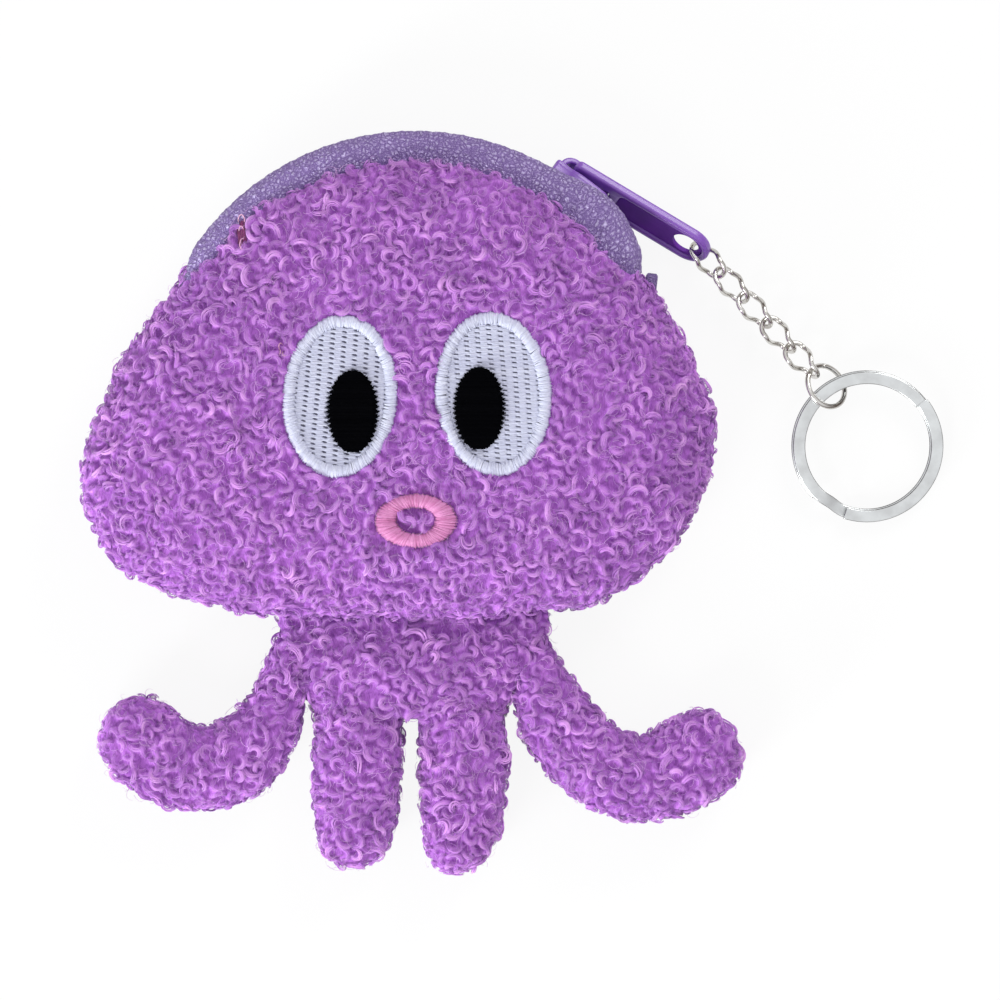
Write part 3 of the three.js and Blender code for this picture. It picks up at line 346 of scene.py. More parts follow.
class Nodes:
    """The nodes of a material or of the world, with short names for the kinds in use."""

    def __init__(self, tree):
        self.tree = tree

    def feed(self, socket, value):
        if isinstance(value, bpy.types.NodeSocket):
            self.tree.links.new(value, socket)
        else:
            socket.default_value = value

    def node(self, kind, inputs=None, out=0, **settings):
        made = self.tree.nodes.new("ShaderNode" + kind)
        for key, value in settings.items():
            setattr(made, key, value)
        for key, value in (inputs or {}).items():
            self.feed(made.inputs[key], value)
        return made.outputs[out]

    def maths(self, operation, *values):
        return self.node("Math", dict(enumerate(values)), operation=operation)

    def times(self, one, other):
        return self.maths("MULTIPLY", one, other)

    def plus(self, one, other):
        return self.maths("ADD", one, other)

    def mixed(self, factor, one, other, blend="MIX"):
        return self.node("Mix", {0: factor, 6: one, 7: other}, 2, data_type="RGBA", blend_type=blend)

    def ramp(self, factor, *stops):
        colour = self.node("ValToRGB", {"Fac": factor}, "Color")
        elements = colour.node.color_ramp.elements
        while len(elements) < len(stops):
            elements.new(0.5)
        for element, (position, level) in zip(elements, stops):
            element.position = position
            element.color = level
        return colour

    def place(self):
        return self.node("TexCoord", out="Object")

    def attribute(self, key, out="Fac"):
        return self.node("Attribute", out=out, attribute_name=key)

    def noise(self, vector, scale, detail=2.0, out="Fac", **more):
        return self.node("TexNoise", {"Vector": vector, "Scale": scale, "Detail": detail, **more}, out)

    def stretched(self, vector, scale, **more):
        return self.node("Mapping", {"Vector": vector, "Scale": scale, **more})

    def warped(self, vector, scale, by):
        """A vector bent by noise."""
        inputs = {0: self.noise(vector, scale, out="Color"), "Scale": by}
        bent = self.node("VectorMath", inputs, operation="SCALE")
        return self.node("VectorMath", {0: vector, 1: bent}, operation="ADD")

    def weave(self, vector, pitch_x, pitch_y):
        """Plain weave: the tops of its threads are 1, its holes 0."""
        waves = []
        for axis, pitch in enumerate((pitch_x, pitch_y)):
            run = self.node("SeparateXYZ", {"Vector": vector}, axis)
            waves.append(self.maths("ABSOLUTE", self.maths("SINE", self.times(run, math.pi / pitch))))
        return self.times(*waves)


class Surface(Nodes):
    """A material under way, and its shader."""

    def __init__(self, name, **settings):
        self.material = bpy.data.materials.new(name)
        self.material.use_nodes = True
        super().__init__(self.material.node_tree)
        self.shader = self.tree.nodes["Principled BSDF"]
        for key, value in settings.items():
            self.shader.inputs[key.replace("_", " ").title().replace("Ior", "IOR")].default_value = value

    def paint(self, **values):
        for key, value in values.items():
            self.feed(self.shader.inputs[key.replace("_", " ").title()], value)

    def bump(self, height, distance, strength):
        """Raises the surface by a height, and returns the finished material."""
        inputs = {"Height": height, "Distance": distance, "Strength": strength}
        self.paint(normal=self.node("Bump", inputs, "Normal"))
        return self.material


def grey(level):
    return (level, level, level, 1)


def fleece_material(name, root, mid, tip):
    """Bundles of shiny fibre: streaks along each strand, roots painted darker as shade and tips lighter as
    highlight, patches of painted shade, each lock a little different.
    """
    s = Surface(
        name, roughness=0.6, specular_ior_level=0.3, sheen_weight=0.9, sheen_roughness=0.45,
        sheen_tint=srgb(234, 206, 255),
    )
    streak = s.noise(s.stretched(s.attribute("fibre", "Vector"), (0.35, 1.9, 1.9)), 1.6, 3.0, Roughness=0.6)
    # Painted light: the low points of each strand take the dark root colour as shade, the high points the
    # light tip colour as highlight.
    tone = s.maths("MULTIPLY_ADD", s.attribute("tint"), 0.42, s.times(s.attribute("rise"), 0.4))
    tone = s.plus(tone, s.times(streak, 0.3))
    colour = s.ramp(tone, (0.15, root), (0.55, mid), (0.95, tip))
    colour = s.mixed(s.times(s.noise(s.place(), 55.0), 0.16), colour, srgb(226, 130, 222))
    # Painted shade in random patches over the pile.
    shade = s.ramp(s.noise(s.place(), 230.0), (0.36, (0.7, 0.62, 0.74, 1)), (0.62, (1.06, 1.06, 1.05, 1)))
    s.paint(base_color=s.mixed(1.0, colour, shade, "MULTIPLY"))
    return s.bump(streak, 0.00008, 0.7)


def backing_material(name, low, middle, high):
    """What shows between the locks: the matted roots of the pile, with painted shade that darkens them in the
    hollows.
    """
    s = Surface(name, roughness=0.8, specular_ior_level=0.15, sheen_weight=0.3)
    hairs = s.noise(s.stretched(s.warped(s.place(), 420.0, 0.0016), (1.0, 0.28, 0.6)), 5200.0, 3.0)
    tone = s.plus(s.times(s.attribute("rise"), 0.55), s.times(hairs, 0.55))
    s.paint(base_color=s.ramp(tone, (0.2, low), (0.55, middle), (0.9, high)))
    return s.bump(hairs, 0.0003, 0.8)


def thread_material(name, low, high, roughness=0.42, sheen=0.3, specular=0.45):
    """Twisted embroidery thread: fine slanting plies along each stitch."""
    s = Surface(
        name, roughness=roughness, specular_ior_level=specular, sheen_weight=sheen, sheen_roughness=0.35
    )
    plies = s.noise(s.stretched(s.attribute("fibre", "Vector"), (1.1, 1.6, 1.6)), 2.2, 3.0, Distortion=0.4)
    tone = s.plus(s.times(plies, 0.7), s.times(s.attribute("tint"), 0.35))
    s.paint(base_color=s.ramp(tone, (0.2, low), (0.8, high)))
    return s.bump(plies, 0.00008, 0.7)


def cloth_material(name, low, high, pitch):
    """Plain weave of fine thread."""
    s = Surface(name, roughness=0.8, specular_ior_level=0.2, sheen_weight=0.2)
    weave = s.weave(s.place(), pitch * MM, pitch * MM)
    s.paint(base_color=s.ramp(weave, (0.0, low), (0.7, high)))
    return s.bump(weave, 0.0001, 0.6)


def tape_material(name):
    """Woven zip tape under a crackled film that glitters on the tops of its pebbles."""
    s = Surface(name, roughness=0.6, specular_ior_level=0.35, sheen_weight=0.2, sheen_roughness=0.4)
    at = s.attribute("fibre", "Vector")
    longer = s.stretched(s.warped(at, 1.1, 0.9), (1.0, 1.35, 1.0))
    cells, small = (
        s.node("TexVoronoi", {"Vector": longer, "Scale": scale}, "Distance", feature="DISTANCE_TO_EDGE")
        for scale in (1.25, 2.6)
    )
    pebble = s.plus(s.times(cells, 1.5), s.times(small, 0.8))
    weave = s.weave(at, 0.45, 0.4)
    tone = s.plus(s.times(pebble, 0.8), s.times(s.noise(at, 5.0, 3.0), 0.7))
    colour = s.ramp(tone, (0.3, srgb(104, 78, 140)), (0.62, srgb(148, 124, 184)), (0.9, srgb(208, 194, 236)))
    colour = s.mixed(s.times(s.maths("SUBTRACT", 1.0, weave), 0.22), colour, srgb(112, 90, 152))
    across = s.node("SeparateXYZ", {"Vector": at}, 1)
    limits = {"From Min": 6.0, "From Max": 8.2, "To Min": 0.0, "To Max": 0.45}
    rim = s.node("MapRange", {"Value": across, **limits})
    s.paint(
        base_color=s.mixed(rim, colour, srgb(120, 104, 146)),
        metallic=s.ramp(tone, (0.6, grey(0)), (0.85, grey(0.5))),
        roughness=s.ramp(tone, (0.45, grey(0.7)), (0.85, grey(0.36))),
    )
    return s.bump(s.plus(s.times(weave, 0.12), pebble), 0.0003, 0.9)


def enamel_material(name, low, high, edge, dull=0.26, specular=0.5, coat=0.25):
    """Purple enamel on die-cast metal, with a little orange peel and edges painted lighter as a painted
    highlight.
    """
    s = Surface(name, roughness=0.36, specular_ior_level=specular, coat_weight=coat, coat_roughness=0.22)
    cloud = s.noise(s.place(), 240.0, 3.0)
    # Painted highlight: convex edges take the lighter edge colour.
    edge_painted_highlight = s.ramp(s.node("NewGeometry", out="Pointiness"), (0.52, grey(0)), (0.62, grey(0.4)))
    s.paint(
        base_color=s.mixed(edge_painted_highlight, s.ramp(cloud, (0.3, low), (0.7, high)), edge),
        roughness=s.maths("MULTIPLY_ADD", cloud, 0.22, dull),
    )
    return s.bump(s.noise(s.place(), 1500.0), 0.00003, 0.35)


def plastic_material(name, low, high):
    """Moulded plastic with a faint cloud in its colour and gloss."""
    s = Surface(name, roughness=0.4, specular_ior_level=0.45)
    cloud = s.noise(s.place(), 500.0, 3.0)
    s.paint(
        base_color=s.ramp(cloud, (0.3, low), (0.7, high)), roughness=s.maths("MULTIPLY_ADD", cloud, 0.2, 0.3)
    )
    return s.bump(cloud, 0.00003, 0.4)


def steel_material(name, low, high, roughness):
    """Nickel plate: faint draw lines, specks of tarnish and fine scratches."""
    s = Surface(name, metallic=1.0, roughness=roughness)
    cloud = s.noise(s.place(), 350.0, 4.0)
    scratch = s.noise(s.stretched(s.place(), (1.0, 0.12, 1.0), Rotation=(0, 0, 0.8)), 5200.0)
    rough = s.plus(s.times(cloud, 0.1), s.maths("MULTIPLY_ADD", scratch, 0.1, roughness - 0.1))
    s.paint(base_color=s.ramp(cloud, (0.32, low), (0.6, high)), roughness=rough)
    return s.bump(scratch, 0.000012, 0.25)


# Root colour dark as painted shade, tip colour light as painted highlight.
FLEECE = fleece_material("fleece", srgb(174, 98, 204), srgb(214, 142, 238), srgb(248, 190, 255))
# Stray fibres coloured lighter than the locks: painted highlight on their thin arcs.
FUZZ_PAINTED_HIGHLIGHT = fleece_material("fuzz", srgb(216, 150, 238), srgb(238, 184, 252), srgb(252, 214, 255))
# Low colour is painted shade for the hollows between locks.
BACKING = backing_material("fleece backing", srgb(134, 68, 162), srgb(192, 118, 218), srgb(228, 160, 248))
LINING = cloth_material("lining cloth", srgb(150, 120, 178), srgb(190, 164, 212), 0.35)
WHITE = thread_material("white thread", srgb(194, 196, 222), srgb(225, 227, 244), 0.5)
# Dark grey under the white stitches: painted shade that shows in their gaps and needle dips.
WHITE_BED_PAINTED_SHADE = thread_material("white thread bed", srgb(104, 104, 124), srgb(136, 136, 156), 0.8)
BLACK = thread_material("black thread", srgb(1, 1, 3), srgb(6, 6, 9), 0.9, 0.0, 0.02)
PINK = thread_material("pink thread", srgb(192, 100, 158), srgb(228, 154, 208), 0.4)
# Dark pink under the mouth's stitches: painted shade that shows in their gaps.
PINK_BED_PAINTED_SHADE = thread_material("pink thread bed", srgb(120, 50, 96), srgb(160, 80, 130), 0.7)
# Dark red seam thread, coloured darker partly as painted shade in the pit.
DARK_THREAD_AND_PIT_SHADE = thread_material("seam thread", srgb(96, 32, 78), srgb(158, 70, 132), 0.6)
THREAD = thread_material("loose thread", srgb(206, 132, 170), srgb(246, 196, 222), 0.5)
TAPE = tape_material("zip tape")
TEETH = plastic_material("moulded teeth", srgb(132, 106, 172), srgb(160, 134, 198))
ENAMEL = enamel_material("purple enamel", srgb(120, 72, 172), srgb(138, 88, 190), srgb(176, 140, 216))
# Darker copy of the purple enamel: painted shade for the pull's inset panel, which faces down and away from
# the light.
ENAMEL_PAINTED_SHADE = enamel_material(
    "shaded enamel", srgb(92, 36, 142), srgb(112, 50, 164), srgb(130, 66, 178), 0.5, 0.22, 0.0
)
STEEL = steel_material("nickel plate", srgb(182, 178, 172), srgb(218, 216, 212), 0.17)
RING_STEEL = steel_material("nickel ring", srgb(206, 208, 208), srgb(222, 225, 225), 0.34)
# Dark steel for the split ring's side walls: painted shade and painted dark reflection along its edges.
RING_WALL_PAINTED_SHADE = steel_material("nickel ring edge", srgb(84, 83, 84), srgb(128, 127, 128), 0.4)


def dress(piece, body, slot, *nodes, cover=None):
    """Gives a piece its material and the body it rides on, and hides the solids it stands for. Its slot is
    not used.
    """
    if cover:
        piece.data.materials.append(cover)
    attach(piece, body)
    if nodes:
        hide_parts(*nodes)
    return piece


# Head outline: the zip's arc over the crown, then down the left cheek, along the bottom and up the right.


def head_outline():
    right, left = polar(RIM_RADIUS, ZIP_RIGHT), polar(RIM_RADIUS, ZIP_LEFT)
    after_left = (left[0] - 11 * math.sin(ZIP_LEFT), left[1] + 11 * math.cos(ZIP_LEFT))
    before_right = (right[0] + 8 * math.sin(ZIP_RIGHT), right[1] - 8 * math.cos(ZIP_RIGHT))
    widest_left, widest_right = (HEAD_LEFT, WIDEST_LEFT), (HEAD_RIGHT, WIDEST_RIGHT)
    low_left, low_right = (-23.0, HEAD_BOTTOM), (22.5, HEAD_BOTTOM)
    return np.concatenate([
        polar(RIM_RADIUS, np.linspace(ZIP_RIGHT, ZIP_LEFT, ARC_POINTS)),
        bezier(left, after_left, (HEAD_LEFT, WIDEST_LEFT + 13), widest_left),
        bezier(widest_left, (HEAD_LEFT, WIDEST_LEFT - 15.5), (HEAD_LEFT + 18, HEAD_BOTTOM), low_left),
        bezier(low_left, (0, HEAD_BOTTOM - 2 * BOTTOM_SAG), low_right),
        bezier(
            low_right, (HEAD_RIGHT - 13.5, HEAD_BOTTOM + 1.5), (HEAD_RIGHT, WIDEST_RIGHT - 13), widest_right
        ),
        bezier(widest_right, (HEAD_RIGHT, WIDEST_RIGHT + 10), before_right, right),
    ])


RIM = head_outline() - HEAD_CENTRE
RIM_ANGLE = np.arctan2(RIM[:, 1], RIM[:, 0]) % TAU
RIM_ORDER = np.argsort(RIM_ANGLE)
RIM_ANGLE = RIM_ANGLE[RIM_ORDER]
RIM_REACH = np.linalg.norm(RIM, axis=1)[RIM_ORDER]


def rim_reach(angle):
    return np.interp(np.asarray(angle) % TAU, RIM_ANGLE, RIM_REACH, period=TAU)


SIDES = {
    "front": {"up": 1, "rise": FRONT_RISE, "blunt": 5, "crown": 1.0, "depth": PILE_DEPTH},
    "back": {"up": -1, "rise": SEAM_HEIGHT, "blunt": 6, "crown": 1.06, "depth": BACK_PILE_DEPTH},
}


def dome_height(side, depth, share):
    s = SIDES[side]
    swell = s["crown"] * (1 - np.minimum(share, 1) ** s["blunt"]) ** 0.4
    return SEAM_HEIGHT + s["up"] * (GAP / 2 + (s["rise"] - GAP / 2 - depth) * np.minimum(1, swell))


def face_height(x, y):
    dx, dy = x - HEAD_CENTRE[0], y - HEAD_CENTRE[1]
    return dome_height("front", 0, np.hypot(dx, dy) / rim_reach(np.arctan2(dy, dx)))


def in_zip(x, y, more=0.0):
    """Whether a point lies in the zip's stretch of the rim."""
    angle = np.arctan2(y, x)
    return (angle > ZIP_RIGHT - more) & (angle < ZIP_LEFT + more)


# Zip frame: X along the zip, Y across it to the face side, Z outwards


def zip_frame(angle):
    along = np.array([-math.sin(angle), math.cos(angle), 0])
    outwards = np.array([math.cos(angle), math.sin(angle), 0])
    across = outwards * math.sin(ZIP_ROLL) + [0, 0, math.cos(ZIP_ROLL)]
    off = outwards * math.cos(ZIP_ROLL) - [0, 0, math.sin(ZIP_ROLL)]
    made = np.eye(4)
    made[:3, 0], made[:3, 1], made[:3, 2] = along, across, off
    made[:3, 3] = [TEETH_RADIUS * math.cos(angle), TEETH_RADIUS * math.sin(angle), SEAM_HEIGHT]
    return made


def zip_section(across, off):
    r = TEETH_RADIUS + across * math.sin(ZIP_ROLL) + off * math.cos(ZIP_ROLL)
    return [r, SEAM_HEIGHT + across * math.cos(ZIP_ROLL) - off * math.sin(ZIP_ROLL)]


def moved(matrix, points):
    points = np.asarray(points, float)
    return points @ matrix[:3, :3].T + matrix[:3, 3]


def shift(x, y, z):
    made = np.eye(4)
    made[:3, 3] = [x, y, z]
    return made


def turned(axis, angle):
    return np.array(Matrix.Rotation(angle, 4, axis))


# Padded skins


def evaluated_copy(piece, name):
    """The piece with its modifiers applied, as a new plain object. The piece goes."""
    graph = bpy.context.evaluated_depsgraph_get()
    mesh = bpy.data.meshes.new_from_object(piece.evaluated_get(graph))
    bpy.data.objects.remove(piece)
    return placed(name, mesh)


def read(items, key, kind, width=1):
    flat = np.zeros(len(items) * width, kind)
    items.foreach_get(key, flat)
    return flat.reshape(-1, width) if width > 1 else flat


def coordinates(mesh):
    return read(mesh.vertices, "co", np.float32, 3).astype(float)


def stuffed(name, verts, faces, held, voxel, most, frames=14):
    """A closed skin, remeshed and blown up a little by cloth simulation. held(points) says what stays put."""
    size = CLOTH_SCALE * MM
    skin = mesh_object(name + ".start", verts, faces)
    skin.data.transform(Matrix.Scale(CLOTH_SCALE, 4))
    remesh = skin.modifiers.new("remesh", "REMESH")
    remesh.mode = "VOXEL"
    remesh.voxel_size = voxel * size
    skin = evaluated_copy(skin, name + ".even")
    start = coordinates(skin.data)
    pinned = skin.vertex_groups.new(name="pinned")
    weights = held(start / size)
    for i in np.nonzero(weights > 0)[0]:
        pinned.add([int(i)], float(weights[i]), "REPLACE")
    cloth = skin.modifiers.new("cloth", "CLOTH")
    settings = cloth.settings
    settings.quality = 6
    settings.mass = 0.15
    settings.use_pressure = True
    settings.uniform_pressure_force = 6
    settings.vertex_group_mass = "pinned"
    settings.tension_stiffness = settings.compression_stiffness = 12
    settings.shear_stiffness = 6
    settings.bending_stiffness = 1.2
    settings.effector_weights.gravity = 0
    cloth.point_cache.frame_start = 1
    cloth.point_cache.frame_end = frames
    for step in range(1, frames + 1):
        bpy.context.scene.frame_set(step)
    skin = evaluated_copy(skin, name + ".blown")
    bpy.context.scene.frame_set(1)
    step = coordinates(skin.data) - start
    length = np.linalg.norm(step, axis=1, keepdims=True)
    end = start + step * np.minimum(1, most * size / np.maximum(length, 1e-9))
    corners = read(skin.data.loops, "vertex_index", np.int32)
    counts = read(skin.data.polygons, "loop_total", np.int32)
    bpy.data.objects.remove(skin)
    if not (counts == 4).all():
        raise RuntimeError("the even skin should be all quads")
    return end / size, corners.reshape(-1, 4)


def quad_areas(verts, quads):
    a, b, c, d = (verts[quads[:, k]] for k in range(4))
    normal = np.cross(c - a, d - b) / 2
    area = np.linalg.norm(normal, axis=1)
    return area, normal / np.maximum(area, 1e-12)[:, None]


def relaxed(verts, quads, rounds=2):
    """Smooths a skin by moving each corner to the middle of its neighbours."""
    edges = np.concatenate([quads[:, [k, (k + 1) % 4]] for k in range(4)])
    for _ in range(rounds):
        total, count = np.zeros_like(verts), np.zeros(len(verts))
        for one, other in (edges.T, edges.T[::-1]):
            np.add.at(total, one, verts[other])
            np.add.at(count, one, 1)
        verts = verts * 0.4 + 0.6 * total / np.maximum(count, 1)[:, None]
    return verts


def scatter(verts, quads, spacing, allowed):
    """Even random points over a skin, at least a spacing apart, with their normals."""
    area, normal = quad_areas(verts, quads)
    count = int(area.sum() / spacing**2 * 4)
    pick = rng.choice(len(quads), count, p=area / area.sum())
    s, t = rng.random((2, count, 1))
    a, b, c, d = (verts[quads[pick, k]] for k in range(4))
    at = (a * (1 - s) + b * s) * (1 - t) + (d * (1 - s) + c * s) * t
    n = normal[pick]
    keep = allowed(at)
    at, n = at[keep], n[keep]
    cells, kept = {}, []
    index = np.floor(at / spacing).astype(int)
    for i, (x, y, z) in enumerate(index):
        near = [
            j
            for dx in (-1, 0, 1)
            for dy in (-1, 0, 1)
            for dz in (-1, 0, 1)
            for j in cells.get((x + dx, y + dy, z + dz), ())
        ]
        if near and (((at[near] - at[i]) ** 2).sum(1) < spacing**2).any():
            continue
        cells.setdefault((x, y, z), []).append(i)
        kept.append(i)
    return at[kept], n[kept]


# Locks. Each is a bundle of strands that lie side by side over a ridge, and curl round as they go.


def curl(way, step):
    """A flat line that heads each way in turn, a step at a time, about its own middle."""
    u, v = np.cumsum(np.cos(way) * step, 1), np.cumsum(np.sin(way) * step, 1)
    return u - u.mean(1, keepdims=True), v - v.mean(1, keepdims=True)


def above_skin(at, axes, u, v, height):
    """Points at u, v and a height along three axes from each place on a skin."""
    one, other, up = (axis[:, None] for axis in axes)
    return at[:, None] + one * u[..., None] + other * v[..., None] + up * height[..., None]


def locks(at, normal, strands, steps):
    """What strand_piece needs for every strand of every lock, and the lines that the locks follow."""
    count = len(at)
    helper = unit(rng.normal(size=(count, 3)))
    one = unit(np.cross(normal, helper))
    other = np.cross(normal, one)
    tilt = np.radians(rng.triangular(-35, 0, 35, (2, count)))
    up = unit(normal + one * np.tan(tilt[0])[:, None] + other * np.tan(tilt[1])[:, None])
    one = unit(one - up * (one * up).sum(-1, keepdims=True))
    axes = one, np.cross(up, one), up
    share = np.linspace(0, 1, steps)[None]
    sideways = smoothstep(1 - np.abs(normal[:, 2:3]), 0.4, 0.9)
    lift = 0.08 - 0.08 * sideways
    size = rng.triangular(0.7, 0.92, 1.3, count)[:, None] * (1 - 0.12 * sideways)
    span = np.radians(rng.triangular(90, 205, 310, count))[:, None] * rng.choice([-1, 1], (count, 1))
    change = rng.triangular(-1.1, 0.3, 1.2, count)[:, None]
    way = rng.uniform(0, TAU, (count, 1)) + span * (share + change * (share**2 - share))
    length = size * rng.triangular(2.6, 3.5, 4.6, count)[:, None]
    u, v = curl(way, length / (steps - 1))
    arch = np.sin(np.pi * (0.04 + 0.92 * share)) ** 0.55
    tall = rng.triangular(0.25, 0.52, 0.95, count)[:, None] * (1 - 0.3 * sideways)
    height = lift - 0.3 + (0.3 + tall) * size * arch
    swell = 0.45 + 0.55 * np.sin(np.pi * (0.1 + 0.8 * share)) ** 0.6
    width = size * rng.triangular(0.2, 0.28, 0.42, count)[:, None] * swell
    taper = 0.35 + 0.65 * np.sin(np.pi * (0.08 + 0.84 * share)) ** 0.5
    paths, radii, tints = [], [], []
    lock_tint = rng.random(count)
    for k in range(strands):
        over = math.radians(-84 + 168 * k / (strands - 1)) + rng.normal(0, 0.09, (count, 1))
        over = over + 0.16 * np.sin(share * rng.uniform(3, 8, (count, 1)) + rng.uniform(0, TAU, (count, 1)))
        loose = 1 + 0.26 * np.abs(rng.normal(size=(count, 1))) * (0.15 + share**2)
        aside = width * np.sin(over) * loose
        raised = height + width * 0.95 * np.cos(over) * loose
        paths.append(above_skin(at, axes, u - np.sin(way) * aside, v + np.cos(way) * aside, raised))
        radii.append(width * 0.225 * rng.uniform(0.7, 1.3, (count, 1)) * taper)
        tints.append(0.45 * lock_tint + 0.55 * rng.random(count))
    paths, radii = np.concatenate(paths), np.concatenate(radii)
    paths[..., 2] = np.maximum(paths[..., 2], PILE_FLOOR + radii)
    foot, facing, ups = (np.tile(v, (strands, 1))[:, None] for v in (at, normal, up))
    # How high each point stands; the fleece paints low points darker as shade and high points lighter as
    # highlight.
    rise = ((paths - foot) * facing).sum(-1)
    cores = above_skin(at, axes, u, v, height).reshape(-1, 3)
    return (paths, radii, ups, np.concatenate(tints), np.clip((rise - 0.08) / 1.25, 0, 1)), cores


def fuzz(at, normal, steps=6):
    """The same for single fine fibres that have sprung out of the locks."""
    count = len(at)
    side = unit(np.cross(normal, unit(rng.normal(size=(count, 3)))))
    share = np.linspace(0, 1, steps)[None]
    span = np.radians(rng.uniform(50, 170, (count, 1))) * rng.choice([-1, 1], (count, 1))
    way = rng.uniform(0, TAU, (count, 1)) + span * share
    u, v = curl(way, rng.uniform(1.4, 3.2, (count, 1)) / (steps - 1))
    tall = rng.triangular(0.3, 0.6, 1.15, count)[:, None]
    height = 0.25 + tall * np.sin(np.pi * (0.03 + rng.uniform(0.6, 0.95, (count, 1)) * share)) ** 0.7
    path = above_skin(at, (side, np.cross(normal, side), normal), u, v, height)
    radii = rng.uniform(0.025, 0.042, (count, 1)) * (1.1 - 0.6 * share)
    path[..., 2] = np.maximum(path[..., 2], PILE_FLOOR + 0.05)
    return path, radii, normal[:, None], rng.random(count), np.ones((count, steps))


def strand_piece(name, sides, paths, radii, ups, tint, rise=None):
    """Threads as one piece, with each one's tint and how high its points stand."""
    verts, faces, place = tubes(paths, radii, ups, sides)
    count, steps = paths.shape[:2]
    points = {"fibre": place, "tint": np.repeat(tint, steps * sides)}
    if rise is not None:
        points["rise"] = np.repeat(rise, sides)
    return mesh_object(name, verts, faces, points, tube_uv(count, steps, sides))


def pile_pieces(name, at, normal, strands=7, steps=9, hairs=2):
    """The locks of a skin in pieces of a workable size, each with its loose fibres, and the locks' lines."""
    parts = max(1, math.ceil(len(at) / LOCKS_IN_PIECE))
    order = np.argsort(np.arctan2(at[:, 1] - at[:, 1].mean(), at[:, 0] - at[:, 0].mean()))
    made, ridges = [], []
    for k, mine in enumerate(np.array_split(order, parts)):
        label = f"{name}_{k + 1}" if parts > 1 else name
        strand, cores = locks(at[mine], normal[mine], strands, steps)
        ridges.append(cores)
        piece = strand_piece(label, 4, *strand)
        piece.data.materials.append(FLEECE)
        many = np.tile(mine[np.abs(normal[mine, 2]) > 0.4], hairs)
        spread = at[many] + rng.normal(0, 0.8, (len(many), 3)) * (1 - normal[many] ** 2)
        loose = strand_piece(label + "_fuzz", 3, *fuzz(spread, normal[many]))
        loose.data.materials.append(FUZZ_PAINTED_HIGHLIGHT)
        made += [piece, loose]
    return made, np.concatenate(ridges)


def backing(name, skin, quads, ridges):
    """The matted roots: the skin, finely divided, that swells up under every lock and dips between them."""
    coarse = mesh_object(name + ".skin", skin, [quads])
    divide = coarse.modifiers.new("divide", "SUBSURF")
    divide.levels = divide.render_levels = 2
    piece = evaluated_copy(coarse, name)
    tree = kdtree.KDTree(len(ridges))
    for i, ridge in enumerate(ridges):
        tree.insert(Vector(ridge * MM), i)
    tree.balance()
    verts = coordinates(piece.data)
    normals = read(piece.data.vertices, "normal", np.float32, 3)
    near = [tree.find(Vector(v))[1] for v in verts + normals * 0.3 * MM]
    off = (ridges[near] * MM - verts) / MM
    above = (off * normals).sum(1)
    aside = np.linalg.norm(off - normals * above[:, None], axis=1)
    ridge = 1 - smoothstep(aside, 0.05, 0.95)
    swell = -0.08 + ridge * np.clip(above, 0, 0.8) * 0.92
    grown = verts + normals * (swell * MM)[:, None]
    grown[:, 2] = np.maximum(grown[:, 2], BACKING_FLOOR * MM)
    piece.data.vertices.foreach_set("co", grown.astype(np.float32).ravel())
    # Low in the dips between locks, where the backing material paints shade.
    shade = piece.data.attributes.new("rise", "FLOAT", "POINT")
    shade.data.foreach_set("value", np.clip(0.1 + ridge * (0.2 + above), 0, 1).astype(np.float32))
    piece.data.update()
    piece.data.materials.append(BACKING)
    return piece


# Head

AROUND = 220
SHARES = np.array([0.1, 0.22, 0.34, 0.46, 0.58, 0.68, 0.76, 0.83, 0.88, 0.92, 0.95, 0.97, 0.985, 0.995, 1.0])


def plush_edge(angle):
    """How far the face's pile reaches over the tape: further at the ends of the zip."""
    from_left, from_right = ZIP_LEFT - angle, angle - ZIP_RIGHT
    ends = (1 - smoothstep(from_left, -0.06, 0.62)) * 3.3 + (1 - smoothstep(from_right, -0.05, 0.2)) * 2.8
    return PLUSH_EDGE - 0.1 + ends


def head_rings(side):
    """Rings of one half, a little uneven at the seam, and tucked in at the zip's tape."""
    angle = circle(AROUND)
    uneven = 0.3 * np.sin(9 * angle + 1.0) + 0.22 * np.sin(17 * angle + 2.3) + 0.2 * np.sin(28 * angle + 0.7)
    rings = []
    for share in SHARES:
        reach = rim_reach(angle) - HEAD_INSET + uneven * smoothstep(share, 0.8, 0.97)
        at = polar(reach * share, angle) + HEAD_CENTRE
        z = dome_height(side, SIDES[side]["depth"], np.full(AROUND, share))
        radius = np.hypot(*at.T)
        if side == "front":
            edge = plush_edge(np.arctan2(at[:, 1], at[:, 0]))
            beside = np.clip(z, TAPE_TOP + 0.3, None)
        else:
            edge = np.full(AROUND, PLUSH_EDGE - 0.4)
            beside = np.clip(z, None, BACK_TAPE_HEIGHT - 0.6)
        over = in_zip(*at.T) & (radius > edge)
        inner = at * (edge / np.maximum(radius, 1))[:, None]
        at = np.where(over[:, None], inner, at)
        z = np.where(over, SEAM_HEIGHT + 0.2 * SIDES[side]["up"] if share > 0.97 else beside, z)
        rings.append(np.column_stack([at, z]))
    return rings


poles = [[*HEAD_CENTRE, float(dome_height(side, SIDES[side]["depth"], 0.0))] for side in SIDES]
shell = np.concatenate([*head_rings("front"), *head_rings("back")[::-1], poles])
rows = 2 * len(SHARES)
quads = grid_faces(rows, AROUND, loop_columns=True)[:, ::-1]
ring = np.arange(AROUND)
top = np.stack([np.full(AROUND, rows * AROUND), ring, np.roll(ring, -1)], -1)
last = (rows - 1) * AROUND
bottom = np.stack([np.full(AROUND, rows * AROUND + 1), last + np.roll(ring, -1), last + ring], -1)


